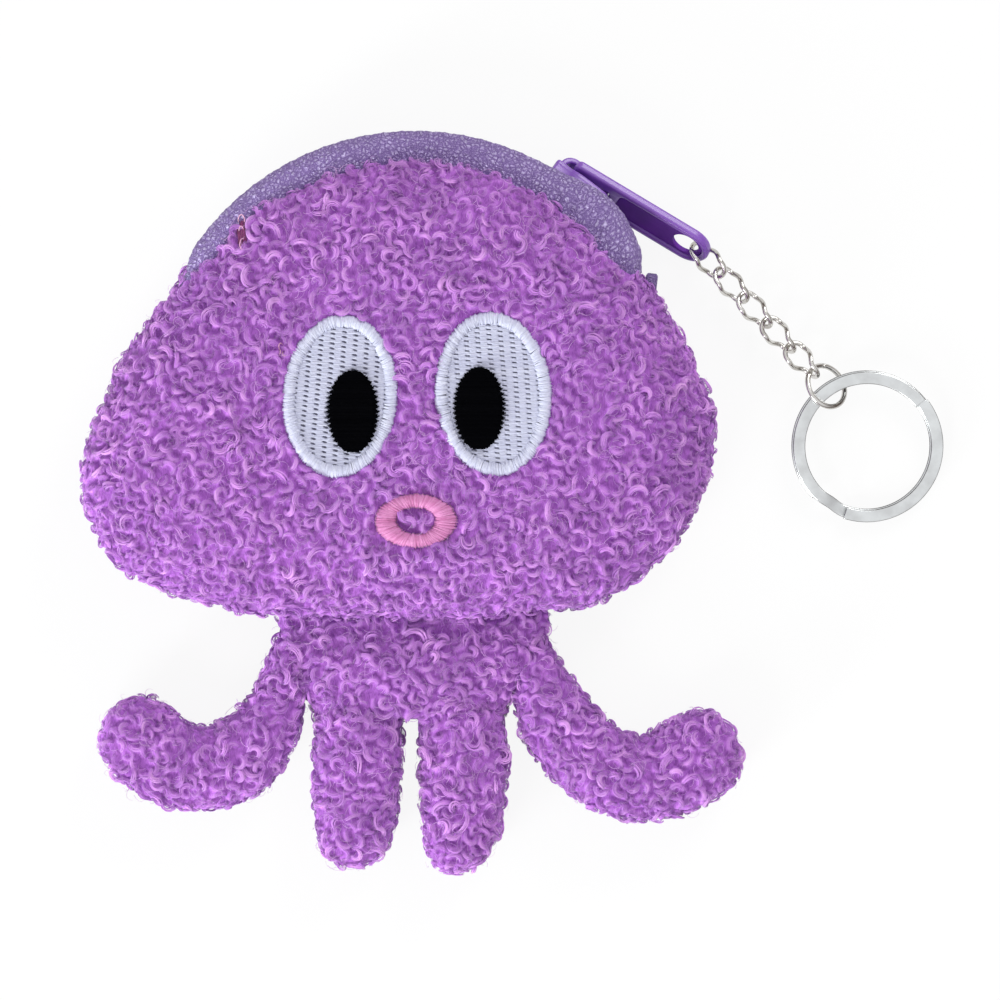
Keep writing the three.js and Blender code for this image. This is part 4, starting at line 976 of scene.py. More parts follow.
def head_held(points):
    """The side seam, the zip's edges and the part that rests on the table hold the plush in."""
    weight = 1 - smoothstep(np.abs(points[:, 2] - SEAM_HEIGHT), 0.8, 2.6)
    radius = np.hypot(points[:, 0], points[:, 1])
    zip_near = in_zip(*points[:, :2].T, 0.05) * smoothstep(radius, PLUSH_EDGE - 4.5, PLUSH_EDGE - 1.5)
    table = 1 - smoothstep(points[:, 2], 1.1, 1.6)
    return np.clip(np.maximum.reduce([weight, zip_near, table]), 0, 1)


skin, skin_quads = stuffed("head", shell, [quads, top, bottom], head_held, 1.5, 0.7)
skin = relaxed(skin, skin_quads, 2)


def inside_oval(points, at, half, lean, more):
    c, s = math.cos(-lean), math.sin(-lean)
    x, y = points[:, 0] - at[0], points[:, 1] - at[1]
    u, v = x * c - y * s, x * s + y * c
    return (u / (half[0] + more)) ** 2 + (v / (half[1] + more)) ** 2 < 1


def head_allowed(points):
    """Curls stand where the plush shows: not under the stitches nor under the tapes."""
    stitched = np.zeros(len(points), bool)
    for eye in EYES.values():
        stitched |= inside_oval(points, eye["at"], eye["half"], math.radians(eye["lean"]), 0.45)
    ring = inside_oval(points, MOUTH_AT, MOUTH_HALF, 0, 0.5)
    ring &= ~inside_oval(points, MOUTH_AT, MOUTH_HOLE, 0, -0.7)
    stitched |= ring | inside_oval(points, PIT_AT, (0.6, 2.2), 0, 0.25)
    radius = np.hypot(points[:, 0], points[:, 1])
    beside_tape = (points[:, 2] < TAPE_TOP + 0.1) & (points[:, 2] > BACK_TAPE_HEIGHT - 0.5)
    under_tape = in_zip(points[:, 0], points[:, 1]) & beside_tape & (radius > PLUSH_EDGE - 2.6)
    return ~((points[:, 2] > SEAM_HEIGHT) & stitched) & ~under_tape


face_z = skin[skin_quads].mean(1)[:, 2]
halves = {}
piles = {"front": (LOCK_SPACING, 7, 9, 2), "back": (1.75, 5, 7, 1)}
for side, (spacing, strands, steps, hairs) in piles.items():
    beyond = (face_z - SEAM_HEIGHT) * SIDES[side]["up"]
    at, normal = scatter(skin, skin_quads[beyond > 0], spacing, head_allowed)
    pile, ridges = pile_pieces(f"head_{side}_pile", at, normal, strands, steps, hairs)
    used, wider = np.unique(skin_quads[beyond > -1.0], return_inverse=True)
    halves[side] = (skin[used], wider.reshape(-1, 4), ridges)
    for piece in pile:
        dress(piece, "head", "plush")

ridges = np.concatenate([half[2] for half in halves.values()])
for side, (verts, quads, _) in halves.items():
    base = backing(f"head_{side}_plush", verts, quads, ridges)
    dress(base, "head", "plush", f"head_{side}_panel", f"{side}_wadding")

# Limbs


def spline(points, samples):
    """A smooth line through points, at even steps of its parameter."""
    points = np.asarray(points, float)
    t = np.linspace(0, len(points) - 1, samples)
    i = np.minimum(t.astype(int), len(points) - 2)
    w = (t - i)[:, None]
    p = [points[np.clip(i + k, 0, len(points) - 1)] for k in (-1, 0, 1, 2)]
    p[0] = np.where((i == 0)[:, None], p[1], p[0])
    p[3] = np.where((i == len(points) - 2)[:, None], p[2], p[3])
    v0, v1 = (p[2] - p[0]) / 2, (p[3] - p[1]) / 2
    cubic, square = 2 * p[1] - 2 * p[2] + v0 + v1, -3 * p[1] + 3 * p[2] - 2 * v0 - v1
    return cubic * w**3 + square * w**2 + v0 * w + p[1]


def limb_rings(limb, count=26, sides=30):
    """Rings round a limb between its two outlines, from behind its root to its tip."""
    left, right = (spline(limb[k], 161) for k in ("left", "right"))
    middle = (left + right) / 2
    width = np.linalg.norm(right - left, axis=1) / 2
    across = unit(right - left)
    run = run_along(middle)
    whole, widest, depth = run[-1], width.max(), LIMB_PILE_DEPTH
    hem, rise, back = limb.get("hem", LIMB_HEM), limb.get("rise", 0.0), limb.get("back", 2.2)
    if limb.get("open"):
        distances = np.linspace(0, whole + 1.0, count)
    else:
        distances = (whole - depth * 0.6) * np.sin(np.linspace(0.0, 1, count) * math.pi / 2)
    forward = unit(middle[4] - middle[0])
    turn = (np.arange(sides) + 0.5) / sides * TAU
    rings = []
    for distance in (-back, -back / 2, *distances):
        m = np.array([np.interp(distance, run, middle[:, k]) for k in (0, 1)])
        m = m + forward * min(distance, 0) + forward * max(distance - whole, 0)
        a = unit(np.array([np.interp(distance, run, across[:, k]) for k in (0, 1)]))
        half = np.interp(distance, run, width)
        taper = min(1, half / (0.8 * widest)) ** 0.6
        thick = LIMB_BELLY * (taper if distance > hem else 1) - depth
        if limb.get("open"):
            thick = hem + (LIMB_BELLY - hem) * smoothstep(distance, 0, 3 * hem) - depth
        thick *= 1 - 0.35 * max(-distance, 0) / back
        height = LIMB_HEIGHT + rise * (1 - smoothstep(distance, hem, whole))
        out = max(half - 0.55 * depth, 0.15) * squared(np.cos(turn), 0.8)
        lift = max(thick, 0.15) * squared(np.sin(turn), 0.85)
        rings.append(np.column_stack([m[0] + a[0] * out, m[1] + a[1] * out, height + lift]))
    return np.array(rings)


LEG = 27.2
LEG_TOP = SKIRT_BOTTOM - GAP
SKIRT_MIDDLE = (-17.6 + 15.9) / 2


def outlined(root, left, right):
    middle = np.mean(root, axis=0)
    return {
        "left": [root[0], *(middle + LEG * np.array(left))],
        "right": [root[1], *(middle + LEG * np.array(right))],
    }


SKIRT = {
    "left": [[-24.3, SKIRT_TOP], [-21.6, (SKIRT_TOP + SKIRT_BOTTOM) / 2], [-17.6, SKIRT_BOTTOM]],
    "right": [[23.8, SKIRT_TOP], [20.7, (SKIRT_TOP + SKIRT_BOTTOM) / 2], [15.9, SKIRT_BOTTOM]],
    "hem": NECK_HEM,
    "back": 4.4,
    "rise": NECK_HEIGHT - LIMB_HEIGHT,
    "open": True,
}
LIMBS = {
    "tentacle_outer_left": {
        **outlined(
            [[-23.1, SKIRT_TOP - 2.2], [-18.3, SKIRT_BOTTOM + 1.5]],
            [
                (-0.2684, -0.1471), (-0.4154, -0.2831), (-0.5919, -0.3162), (-0.75, -0.1985),
                (-0.9081, -0.136), (-1.0882, -0.2206), (-1.1728, -0.4154),
            ],
            [
                (0.0404, -0.4779), (-0.1581, -0.7574), (-0.5, -0.875), (-0.8015, -0.8309),
                (-0.9963, -0.7206), (-1.1213, -0.5662), (-1.1728, -0.4154),
            ],
        ),
        "back": 4.8,
        "hinge": (-23.05, -46.1),
        "way": (-0.9048, -0.4259),
    },
    "tentacle_inner_left": {
        **outlined(
            [[-17.0, LEG_TOP], [SKIRT_MIDDLE - 1.05, LEG_TOP]],
            [
                (-0.2923, -0.2243), (-0.296, -0.4816), (-0.2776, -0.7022), (-0.2077, -0.8713),
                (-0.0349, -0.9559),
            ],
            [(0.2923, -0.2243), (0.2776, -0.4816), (0.2298, -0.7206), (0.1305, -0.886), (-0.0349, -0.9559)],
        ),
        "hinge": (-9.5, -52.0),
        "way": (0.0, -1.0),
    },
    "tentacle_inner_right": {
        **outlined(
            [[SKIRT_MIDDLE + 0.95, LEG_TOP], [15.2, LEG_TOP]],
            [(-0.2812, -0.2243), (-0.2739, -0.5), (-0.2518, -0.7574), (-0.193, -0.9301), (-0.0607, -0.989)],
            [(0.3033, -0.2243), (0.2923, -0.5), (0.2335, -0.7574), (0.1305, -0.9228), (-0.0607, -0.989)],
        ),
        "hinge": (7.7, -52.0),
        "way": (0.0, -1.0),
    },
    "tentacle_outer_right": {
        **outlined(
            [[16.2, SKIRT_BOTTOM - 0.2], [21.9, SKIRT_TOP - 2.1]],
            [
                (-0.0423, -0.4485), (0.2555, -0.7647), (0.6048, -0.9118), (0.9357, -0.8713),
                (1.1379, -0.7721), (1.2739, -0.614), (1.2849, -0.4338),
            ],
            [
                (0.2518, 0.0147), (0.4871, -0.261), (0.682, -0.3419), (0.8548, -0.25),
                (1.0055, -0.1875), (1.1857, -0.261), (1.2849, -0.4338),
            ],
        ),
        "back": 4.8,
        "hinge": (21.4, -46.9),
        "way": (0.9033, -0.429),
    },
}


def closed_skin(rings):
    """Corners and faces of rings with a pole at each end."""
    rows, across = rings.shape[:2]
    poles = np.stack([rings[0].mean(0), rings[-1].mean(0)])
    verts = np.concatenate([rings.reshape(-1, 3), poles])
    k = np.arange(across)
    first = np.stack([np.full(across, rows * across), np.roll(k, -1), k], -1)
    end = (rows - 1) * across
    last = np.stack([np.full(across, rows * across + 1), end + k, end + np.roll(k, -1)], -1)
    return verts, facing_out(verts, [grid_faces(rows, across, loop_columns=True), first, last])


def limb_held(points):
    return 1 - smoothstep(points[:, 2], 1.9, 2.6)


def dress_limb(name, limb, start, end, shows):
    """Backing, curls and stray fibres of a limb."""
    skin, quads = stuffed(name, *closed_skin(limb_rings(limb)), limb_held, 1.1, 0.45)
    skin = relaxed(skin, quads, 1)
    at, normal = scatter(skin, quads, LOCK_SPACING, shows)
    pile, ridges = pile_pieces(name + "_pile", at, normal)
    base = backing(name + "_plush", skin, quads, ridges)
    start, end = ([*(np.array(spot) * MM), LIMB_HEIGHT * MM] for spot in (start, end))
    for piece in (base, *pile):
        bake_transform(piece)
    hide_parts(name + "_cover", name + "_stuffing")


dress_limb(
    "skirt", SKIRT, (0, -37.9), (0, -44.5),
    lambda points: (points[:, 1] < -35.4) & (points[:, 1] > SKIRT_BOTTOM - 0.8),
)
for name, limb in LIMBS.items():
    hinge, way = np.array(limb["hinge"]), np.array(limb["way"])
    under = 4.2 if "outer" in name else 2.4
    dress_limb(
        name, limb, hinge - 0.4 * way, hinge + 5.6 * way,
        lambda points: (points[:, :2] - hinge) @ way > -under,
    )

# Purse lining, hidden inside the closed purse

low, high = (np.array(v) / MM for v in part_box("lining_bag"))
middle, half = (low + high) / 2, (high - low) / 2
turn = circle(72)
reach = rim_reach(turn)
across = polar(reach, turn) / reach.max()
across = across / np.abs(across).max(0)
rings = []
for share in np.sin(np.linspace(-1, 1, 23) * math.pi / 2 * 0.98):
    width = (1 - abs(share) ** 5) ** 0.3
    sag = 0.12 * np.cos(turn * 5 + share * 3)
    level = middle[2] + (half[2] * share + sag * width * 0.6)
    rings.append(np.column_stack([across * half[:2] * width + middle[:2], level]))
lining = mesh_object("purse_lining", *closed_skin(np.array(rings)))
dress(lining, "head", "lining", "lining_bag", cover=LINING)

# Embroidery


def oval_point(at, half, lean, angle, share=1.0):
    c, s = math.cos(lean), math.sin(lean)
    x, y = half[0] * share * np.cos(angle), half[1] * share * np.sin(angle)
    return np.stack([at[0] + x * c - y * s, at[1] + x * s + y * c], -1)


def thread_piece(name, paths, radii, sides, spread=1.0):
    """Threads over the face as one piece, each a little different in tint."""
    tint = 0.5 + spread * (rng.random(len(paths)) - 0.5)
    return strand_piece(name, sides, np.array(paths), radii, (0, 0, 1), tint)


def satin(name, at, outer, inner, lean, low, high, pitch, fringe, radius):
    """Stitches that run across a band between two ovals, side by side round it."""
    girth = math.pi * (3 * sum(outer) - math.sqrt((3 * outer[0] + outer[1]) * (outer[0] + 3 * outer[1])))
    count = int(girth / pitch)
    even = np.linspace(0, TAU, 2000)
    run = run_along(oval_point(at, outer, lean, even))
    angle = np.interp((np.arange(count) + rng.uniform(-0.2, 0.2, count)) / count * run[-1], run, even)
    slant = rng.normal(0, 0.6 * pitch / outer[0], count)
    start = oval_point(at, outer, lean, angle)
    stop = oval_point(at, inner, lean, angle + slant)
    way = unit(start - stop)
    start = start + way * rng.uniform(-fringe, fringe, (count, 1))
    stop = stop - way * rng.uniform(-fringe, fringe, (count, 1))
    share = np.linspace(0, 1, 9)[None, :, None]
    flat = start[:, None] * (1 - share) + stop[:, None] * share
    arch = np.sin(np.pi * share[..., 0]) ** 0.45
    level = face_height(flat[..., 0], flat[..., 1]) + low + (high - low) * arch
    level = level + rng.uniform(-0.05, 0.05, (count, 1))
    radii = radius * rng.uniform(0.85, 1.15, (count, 1)) * (0.75 + 0.25 * arch)
    return thread_piece(name, np.concatenate([flat, level[..., None]], -1), radii, 6)


def oval_bed(name, at, half, lean, level, deep=1.5, hole=None):
    """A closed oval of padding under the stitches. Under the eyes' white fill and the mouth, its colour is
    painted shade that shows between them.
    """
    inner = 0.04 if hole is None else max(hole[0] / half[0], hole[1] / half[1])
    top = [(share, level) for share in np.linspace(inner, 1, 9)]
    under = [(share, -deep) for share in np.linspace(1, inner, 5)]
    rings = []
    for share, off in top + under:
        flat = oval_point(at, half, lean, circle(72), share)
        rings.append(np.column_stack([flat, face_height(*flat.T) + off]))
    verts = np.concatenate(rings)
    faces = grid_faces(len(rings), 72, loop_rows=True, loop_columns=True)[:, ::-1]
    return mesh_object(name, verts, [faces], {"fibre": verts * 3.0, "tint": np.full(len(verts), 0.4)})


for side, eye in EYES.items():
    at, half, lean = eye["at"], eye["half"], math.radians(eye["lean"])
    inner = (half[0] - BORDER, half[1] - BORDER)
    border = satin(f"eye_{side}_border_thread", at, half, inner, lean, -0.75, 0.12, 0.155, 0.16, 0.15)
    dress(border, "head", "white_thread", f"eye_{side}_border", cover=WHITE)
    # The bed under the white fill is dark as painted shade in the gaps between stitches.
    bed = oval_bed(f"eye_{side}_bed", at, (half[0] - 0.35, half[1] - 0.35), lean, -0.62)
    dress(bed, "head", "white_thread", cover=WHITE_BED_PAINTED_SHADE)

    # Rows of thread lie across the eye, and dip where the needle went down.
    reach = (inner[0] + 0.25, inner[1] + 0.2)
    c, s = math.cos(lean), math.sin(lean)
    paths, radii = [], []
    for n, v in enumerate(np.arange(-reach[1] + 0.1, reach[1], THREAD_PITCH)):
        width = reach[0] * math.sqrt(max(1 - (v / reach[1]) ** 2, 0.0))
        u = np.linspace(-width, width, 110)
        place = (u - 0.05 * np.sin(v * 0.35 + 1.0)) / DENT_COLUMN
        index = np.round(place)
        off = (place - index) * DENT_COLUMN
        phase = (v + 0.14 * off) / DENT_ROW + 0.5 * (index % 2)
        beside = phase - np.round(phase)
        near = np.abs(beside) * DENT_ROW
        dash = np.clip(1 - (off / 0.5) ** 4, 0, 1)
        dip = 0.5 * dash * np.clip(1 - near / 0.2, 0, 1) ** 0.6
        part = np.sign(beside) * 0.07 * dash * np.exp(-((near / 0.22) ** 2))
        w = v + part + 0.012 * np.sin(u * 2.1 + n)
        x, y = at[0] + u * c - w * s, at[1] + u * s + w * c
        z = face_height(x, y) - 0.42 - dip + 0.03 * math.sin(n * 2.4)
        paths.append(np.column_stack([x, y, z]))
        radii.append(0.136 * (1 - 0.3 * dip / 0.5))
    fill = thread_piece(f"eye_{side}_white_thread", paths, radii, 4, 0.6)
    dress(fill, "head", "white_thread", f"eye_{side}_white", cover=WHITE)

    # Pupil: close rows whose ends step in and out.
    paths = []
    for n, v in enumerate(np.arange(-PUPIL_HALF[1] + 0.08, PUPIL_HALF[1], 0.2)):
        saw = 0.35 * (2 * abs((v / 0.8) % 1 - 0.5) * 2 - 1)
        bow = math.sqrt(max(1 - (v / (PUPIL_HALF[1] + 0.1)) ** 2, 0))
        width = max((PUPIL_HALF[0] + saw * 0.9) * bow, 0.25)
        u = np.linspace(-1, 1, 25)
        x = eye["pupil"][0] + u * width + rng.uniform(-0.03, 0.03)
        y = eye["pupil"][1] + v + 0.02 * np.sin(u * 9 + n)
        ends = 0.45 * np.clip(np.abs(u) - 0.86, 0, 1) / 0.14
        z = face_height(x, y) + 0.26 - ends + rng.uniform(-0.03, 0.03)
        paths.append(np.column_stack([x, y, z]))
    pupil = thread_piece(f"eye_{side}_pupil_thread", paths, 0.13, 5)
    dress(pupil, "head", "black_thread", f"eye_{side}_pupil", cover=BLACK)
    pad_half = (PUPIL_HALF[0] - 0.25, PUPIL_HALF[1] - 0.2)
    pad = oval_bed(f"eye_{side}_pupil_bed", eye["pupil"], pad_half, 0, 0.18, deep=0.7)
    dress(pad, "head", "black_thread", cover=BLACK)

mouth = satin("mouth_thread", MOUTH_AT, MOUTH_HALF, MOUTH_HOLE, 0.0, -0.8, 0.55, 0.24, 0.14, 0.16)
dress(mouth, "head", "pink_thread", "mouth_ring", cover=PINK)
bed_half, bed_hole = (MOUTH_HALF[0] - 0.4, MOUTH_HALF[1] - 0.4), (MOUTH_HOLE[0] + 0.5, MOUTH_HOLE[1] + 0.5)
# The bed under the mouth is dark as painted shade between the stitches.
bed = oval_bed("mouth_bed", MOUTH_AT, bed_half, 0, -0.75, hole=bed_hole)
dress(bed, "head", "pink_thread", cover=PINK_BED_PAINTED_SHADE)

# Zip tapes

ZIP_FROM, ZIP_TO = ZIP_RIGHT + GAP / RIM_RADIUS, ZIP_LEFT - GAP / RIM_RADIUS
cheek = head_outline()[ARC_POINTS:ARC_POINTS + 60]
CHEEK_ANGLE, CHEEK_RADIUS = np.arctan2(*cheek.T[::-1]) % TAU, np.linalg.norm(cheek, axis=1)


def tape_piece(name, line, seed, bulge=0.0, steps=420):
    """A strip swept round the crown, with soft folds, a slight ripple and rounded edges."""
    smooth = spline(line, 400)
    run = run_along(smooth)
    spot = np.linspace(0, run[-1], 34)
    centre = np.stack([np.interp(spot, run, smooth[:, k]) for k in (0, 1)], -1)
    along = unit(np.gradient(centre, axis=0))
    normal = np.stack([-along[:, 1], along[:, 0]], -1)
    half = TAPE_THICKNESS / 2
    near = np.minimum(spot, run[-1] - spot)
    taper = np.where(near < half, np.sqrt(np.clip(1 - (1 - near / half) ** 2, 0.06, 1)), 1)
    thick = normal * (half * taper)[:, None]
    section = np.concatenate([centre + thick, (centre - thick)[::-1]])
    out = np.concatenate([normal, -normal[::-1]])
    longer = bool(bulge)
    angle = np.linspace(ZIP_FROM - 0.02 * longer, ZIP_TO + 0.13 * longer, steps)
    a, v = np.meshgrid(angle, np.concatenate([spot, spot[::-1]]), indexing="ij")
    mm = a * RIM_RADIUS
    ripple = 0.05 * np.sin(mm * 1.9 + v * 0.6 + seed) + 0.04 * np.sin(mm * 4.3 - v * 1.3)
    ripple = ripple + 0.03 * np.sin(mm * 8.1 + v * 2.9)
    belled = bulge * np.exp(-(((a - BELL_AT) / BELL_SPAN) ** 2)) * smoothstep(section[:, 1], 11.2, 12.6)
    belled = belled * smoothstep(section[:, 0], TAPE_INNER + 2, TEETH_RADIUS + 1.5)
    tucked = (1 - smoothstep(a - ZIP_FROM, -0.05, 0.07)) + 0.9 * (1 - smoothstep(ZIP_TO - a, -0.13, 0.03))
    tucked = tucked * smoothstep(section[:, 1], 7.0, 12.5) * longer
    onward = np.interp(angle, CHEEK_ANGLE, CHEEK_RADIUS)[:, None] - RIM_RADIUS
    r = section[:, 0] + out[:, 0] * ripple * 0.9 + belled - 1.7 * tucked + onward
    z = section[:, 1] + out[:, 1] * ripple * 0.9 - 1.6 * tucked
    verts = np.stack([r * np.cos(a), r * np.sin(a), z], -1).reshape(-1, 3)
    points = {"fibre": np.stack([mm, v, np.zeros_like(v)], -1).reshape(-1, 3)}
    return mesh_object(name, verts, facing_out(verts, swept_faces(steps, len(section))), points)


front_line = [
    [TAPE_INNER, TAPE_TOP - 0.45], [TAPE_INNER + 3.0, TAPE_TOP - 0.1], [TEETH_RADIUS + 0.3, TAPE_TOP],
    [TEETH_RADIUS + 1.6, TAPE_TOP - 0.45], zip_section(TAPE_TURN, 0), zip_section(TAPE_SLIT / 2, 0),
]
back_line = [
    [TAPE_INNER, BACK_TAPE_HEIGHT - 0.15], [TAPE_INNER + 1.7, BACK_TAPE_HEIGHT - 0.25],
    zip_section(-TAPE_TURN - 0.5, 0), zip_section(-TAPE_SLIT / 2, 0),
]
front_tape = tape_piece("zip_tape_front_cloth", front_line, 0.0, 2.0)
dress(front_tape, "head", "zip_tape", "zip_tape_front", cover=TAPE)
back_tape = tape_piece("zip_tape_back_cloth", back_line, 1.7)
dress(back_tape, "head", "zip_tape", "zip_tape_back", cover=TAPE)

for name in ("zip_teeth_front", "zip_teeth_back", "top_stop_front", "top_stop_back", "bottom_stop"):
    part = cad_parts[name]
    part.data.materials.clear()
    part.data.materials.append(TEETH)
    edge = part.modifiers.new("edge", "BEVEL")
    edge.width = 0.12 * MM
    edge.segments = 2
    edge.limit_method = "ANGLE"

# Slider and pull


def plate(outline, low, high, edge, holes=(), steps=4):
    """A flat plate with rounded edges, from outlines in millimetres: its corners and faces."""
    curve = bpy.data.curves.new("plate", "CURVE")
    curve.dimensions = "2D"
    curve.fill_mode = "BOTH"
    for line in (outline, *holes):
        strip = curve.splines.new("POLY")
        strip.points.add(len(line) - 1)
        flat = np.column_stack([line * MM * PLATE_SCALE, np.zeros(len(line)), np.ones(len(line))])
        strip.points.foreach_set("co", flat.ravel())
        strip.use_cyclic_u = True
    curve.extrude = max((high - low) / 2 - edge, 0) * MM * PLATE_SCALE
    curve.bevel_depth = edge * MM * PLATE_SCALE
    curve.bevel_resolution = steps
    curve.offset = -edge * MM * PLATE_SCALE
    piece = placed("plate", curve)
    bpy.context.view_layer.update()
    mesh = bpy.data.meshes.new_from_object(piece.evaluated_get(bpy.context.evaluated_depsgraph_get()))
    bpy.data.objects.remove(piece)
    verts = coordinates(mesh) / (MM * PLATE_SCALE)
    verts[:, 2] += (low + high) / 2
    faces = {}
    for polygon in mesh.polygons:
        faces.setdefault(len(polygon.vertices), []).append(list(polygon.vertices))
    return verts, [np.array(group) for group in faces.values()]


def metal_piece(name, matrix, *parts):
    """Plates as one piece, with their shared corners joined and their edges sharp."""
    verts, faces = joined(*parts)
    piece = mesh_object(name, moved(matrix, verts), faces)
    piece.modifiers.new("weld", "WELD").merge_threshold = 0.002 * MM
    piece = evaluated_copy(piece, name)
    piece.data.set_sharp_from_angle(angle=math.radians(38))
    return piece


def arc_points(centre, radius, start, end, steps=10):
    angle = np.radians(np.linspace(start, end, steps))
    return np.stack([centre[0] + radius * np.cos(angle), centre[1] + radius * np.sin(angle)], -1)


def rounded_box(x0, y0, x1, y1, r, steps=8):
    corners = ((x1 - r, y1 - r, 0), (x0 + r, y1 - r, 90), (x0 + r, y0 + r, 180), (x1 - r, y0 + r, 270))
    return np.concatenate([arc_points((x, y), r, turn, turn + 90, steps) for x, y, turn in corners])


bend = SLIDER_LENGTH**2 / (16 * TEETH_RADIUS)
inwards = shift(0, -bend * math.sin(ZIP_ROLL), -bend * math.cos(ZIP_ROLL))
slider_frame = turned("Z", SLIDER_ANGLE) @ zip_frame(0) @ inwards
channel_floor = -TAPE_THICKNESS / 2 - RUNNING - bend
channel_roof = TEETH_FLOOR + TEETH_HEIGHT + RUNNING + bend
slot_roof = TAPE_THICKNESS / 2 + RUNNING + bend
slider_top = channel_roof + PLATE
pin_height = slider_top + RUNNING + PULL_THICKNESS / 2
bridge_height = pin_height + PULL_THICKNESS / 2 + RUNNING + BRIDGE_THICKNESS
half = SLIDER_LENGTH / 2
waist = bezier((2.5, SLIDER_TAIL), (1.5, SLIDER_HALF), (-0.5, SLIDER_HALF), steps=10)
outline = np.concatenate([
    bezier((-half, -1.2), (-half, -SLIDER_HALF), (-3.3, -SLIDER_HALF), steps=12),
    bezier((-0.5, -SLIDER_HALF), (1.5, -SLIDER_HALF), (2.5, -SLIDER_TAIL), steps=10),
    bezier((half - 0.6, -SLIDER_TAIL), (half, -SLIDER_TAIL), (half, -SLIDER_TAIL + 0.6), steps=6),
    bezier((half, SLIDER_TAIL - 0.6), (half, SLIDER_TAIL), (half - 0.6, SLIDER_TAIL), steps=6),
    waist,
    bezier((-3.3, SLIDER_HALF), (-half, SLIDER_HALF), (-half, 1.2), steps=12),
    bezier((-half, 1.2), (-half - 0.4, 0), (-half, -1.2), steps=8)[1:-1],
])
wall = np.concatenate([
    bezier((-3.3, SLIDER_HALF), (-4.9, SLIDER_HALF), (-5.2, 2.95), steps=8),
    [[-0.2, 2.75], [3.0, 2.68], [half - 0.3, 2.68]],
    bezier((half - 0.1, SLIDER_TAIL - 0.5), (half - 0.1, SLIDER_TAIL), (half - 0.6, SLIDER_TAIL), steps=5),
    waist,
])
foot, t = slider_top - 0.4, BRIDGE_THICKNESS
arch = np.concatenate([
    [[BRIDGE_FROM, foot]],
    arc_points((BRIDGE_FROM + 2.2, bridge_height - 2.2), 2.2, 180, 90, 10),
    arc_points((BRIDGE_TO - 2.2, bridge_height - 2.2), 2.2, 90, 0, 10),
    [[BRIDGE_TO, foot], [BRIDGE_TO - t, foot]],
    arc_points((BRIDGE_TO - t - 1.3, bridge_height - t - 1.3), 1.3, 0, 90, 8),
    arc_points((BRIDGE_FROM + t + 1.3, bridge_height - t - 1.3), 1.3, 90, 180, 8),
    [[BRIDGE_FROM + t, foot]],
])
arch, arch_faces = plate(arch, -BRIDGE_WIDTH / 2, BRIDGE_WIDTH / 2, 0.32)
wedge = np.concatenate([
    bezier((-half + 0.2, -0.3), (-half + 0.2, -0.5), (-half + 0.6, -0.5), steps=4),
    bezier((-2.4, -0.5), (-1.6, -0.4), (-1.5, 0), steps=6),
    bezier((-1.5, 0), (-1.6, 0.4), (-2.4, 0.5), steps=6),
    bezier((-half + 0.6, 0.5), (-half + 0.2, 0.5), (-half + 0.2, 0.3), steps=4),
])
slider = metal_piece(
    "zip_slider_body", slider_frame,
    plate(outline, channel_roof, slider_top, 0.34),
    plate(outline, channel_floor - PLATE, channel_floor, 0.34),
    plate(wall, slot_roof, channel_roof + 0.3, 0.2),
    plate(wall * [1, -1], slot_roof, channel_roof + 0.3, 0.2),
    plate(wedge, channel_floor - 0.3, channel_roof + 0.3, 0.12),
    (moved(turned("X", math.pi / 2), arch), arch_faces),
)
dress(slider, "slider", "enamel", "zip_slider", cover=ENAMEL)

pull_frame = slider_frame @ shift(PIN_ALONG, 0, pin_height) @ turned("Z", math.pi) @ turned("Y", -PULL_SWING)
tip = PULL_LENGTH - 0.85
hole_at = tip - HOLE_RIM - HOLE_RADIUS
side, half = PULL_WIDTH / 2, PULL_THICKNESS / 2
pull_outline = np.concatenate([
    arc_points((1.0, -side + 1.0), 1.0, 180, 270, 8),
    arc_points((tip - side, 0), side, -90, 90, 40),
    arc_points((1.0, side - 1.0), 1.0, 90, 180, 8),
])
window = rounded_box(0.85, -1.65, 0.25 + WINDOW_LENGTH, 1.65, 0.55)
ring_hole = arc_points((hole_at, 0), HOLE_RADIUS, 0, 354, 40)
panel = np.concatenate([
    arc_points((10.0, -1.85), 0.9, 180, 270, 8),
    arc_points((tip - side, 0), side - 1.25, -90, 90, 40),
    arc_points((10.0, 1.85), 0.9, 90, 180, 8),
])
pull = metal_piece("zip_pull_tag", pull_frame, plate(pull_outline, -half, half, 0.55, [window, panel], 6))
low, high = -half + 0.42, half - 0.42
inset = metal_piece("zip_pull_inset", pull_frame, plate(panel, low, high, 0.12, [ring_hole], 3))
# The inset panel takes the darker enamel as painted shade.
dress(inset, "pull", "enamel", cover=ENAMEL_PAINTED_SHADE)
dress(pull, "pull", "enamel", "zip_pull", cover=ENAMEL)

# Chain

chain_from = moved(pull_frame, [hole_at, 0, CHAIN_ASIDE])
pitch = LINK_LENGTH - 2 * WIRE - 0.36
chain_run = CHAIN_START + 4 * pitch + LINK_LENGTH - WIRE
fall = math.asin((CHAIN_END_HEIGHT - chain_from[2]) / (chain_run + 2))
forward = np.array([math.cos(CHAIN_HEADING), math.sin(CHAIN_HEADING)])
heading = np.array([*(forward * math.cos(fall)), math.sin(fall)])
level = np.array([-math.sin(CHAIN_HEADING), math.cos(CHAIN_HEADING), 0])
rise = np.cross(heading, level)


def axes_frame(along, across, at):
    made = np.eye(4)
    made[:3, 0], made[:3, 1], made[:3, 2], made[:3, 3] = along, across, np.cross(along, across), at
    return made


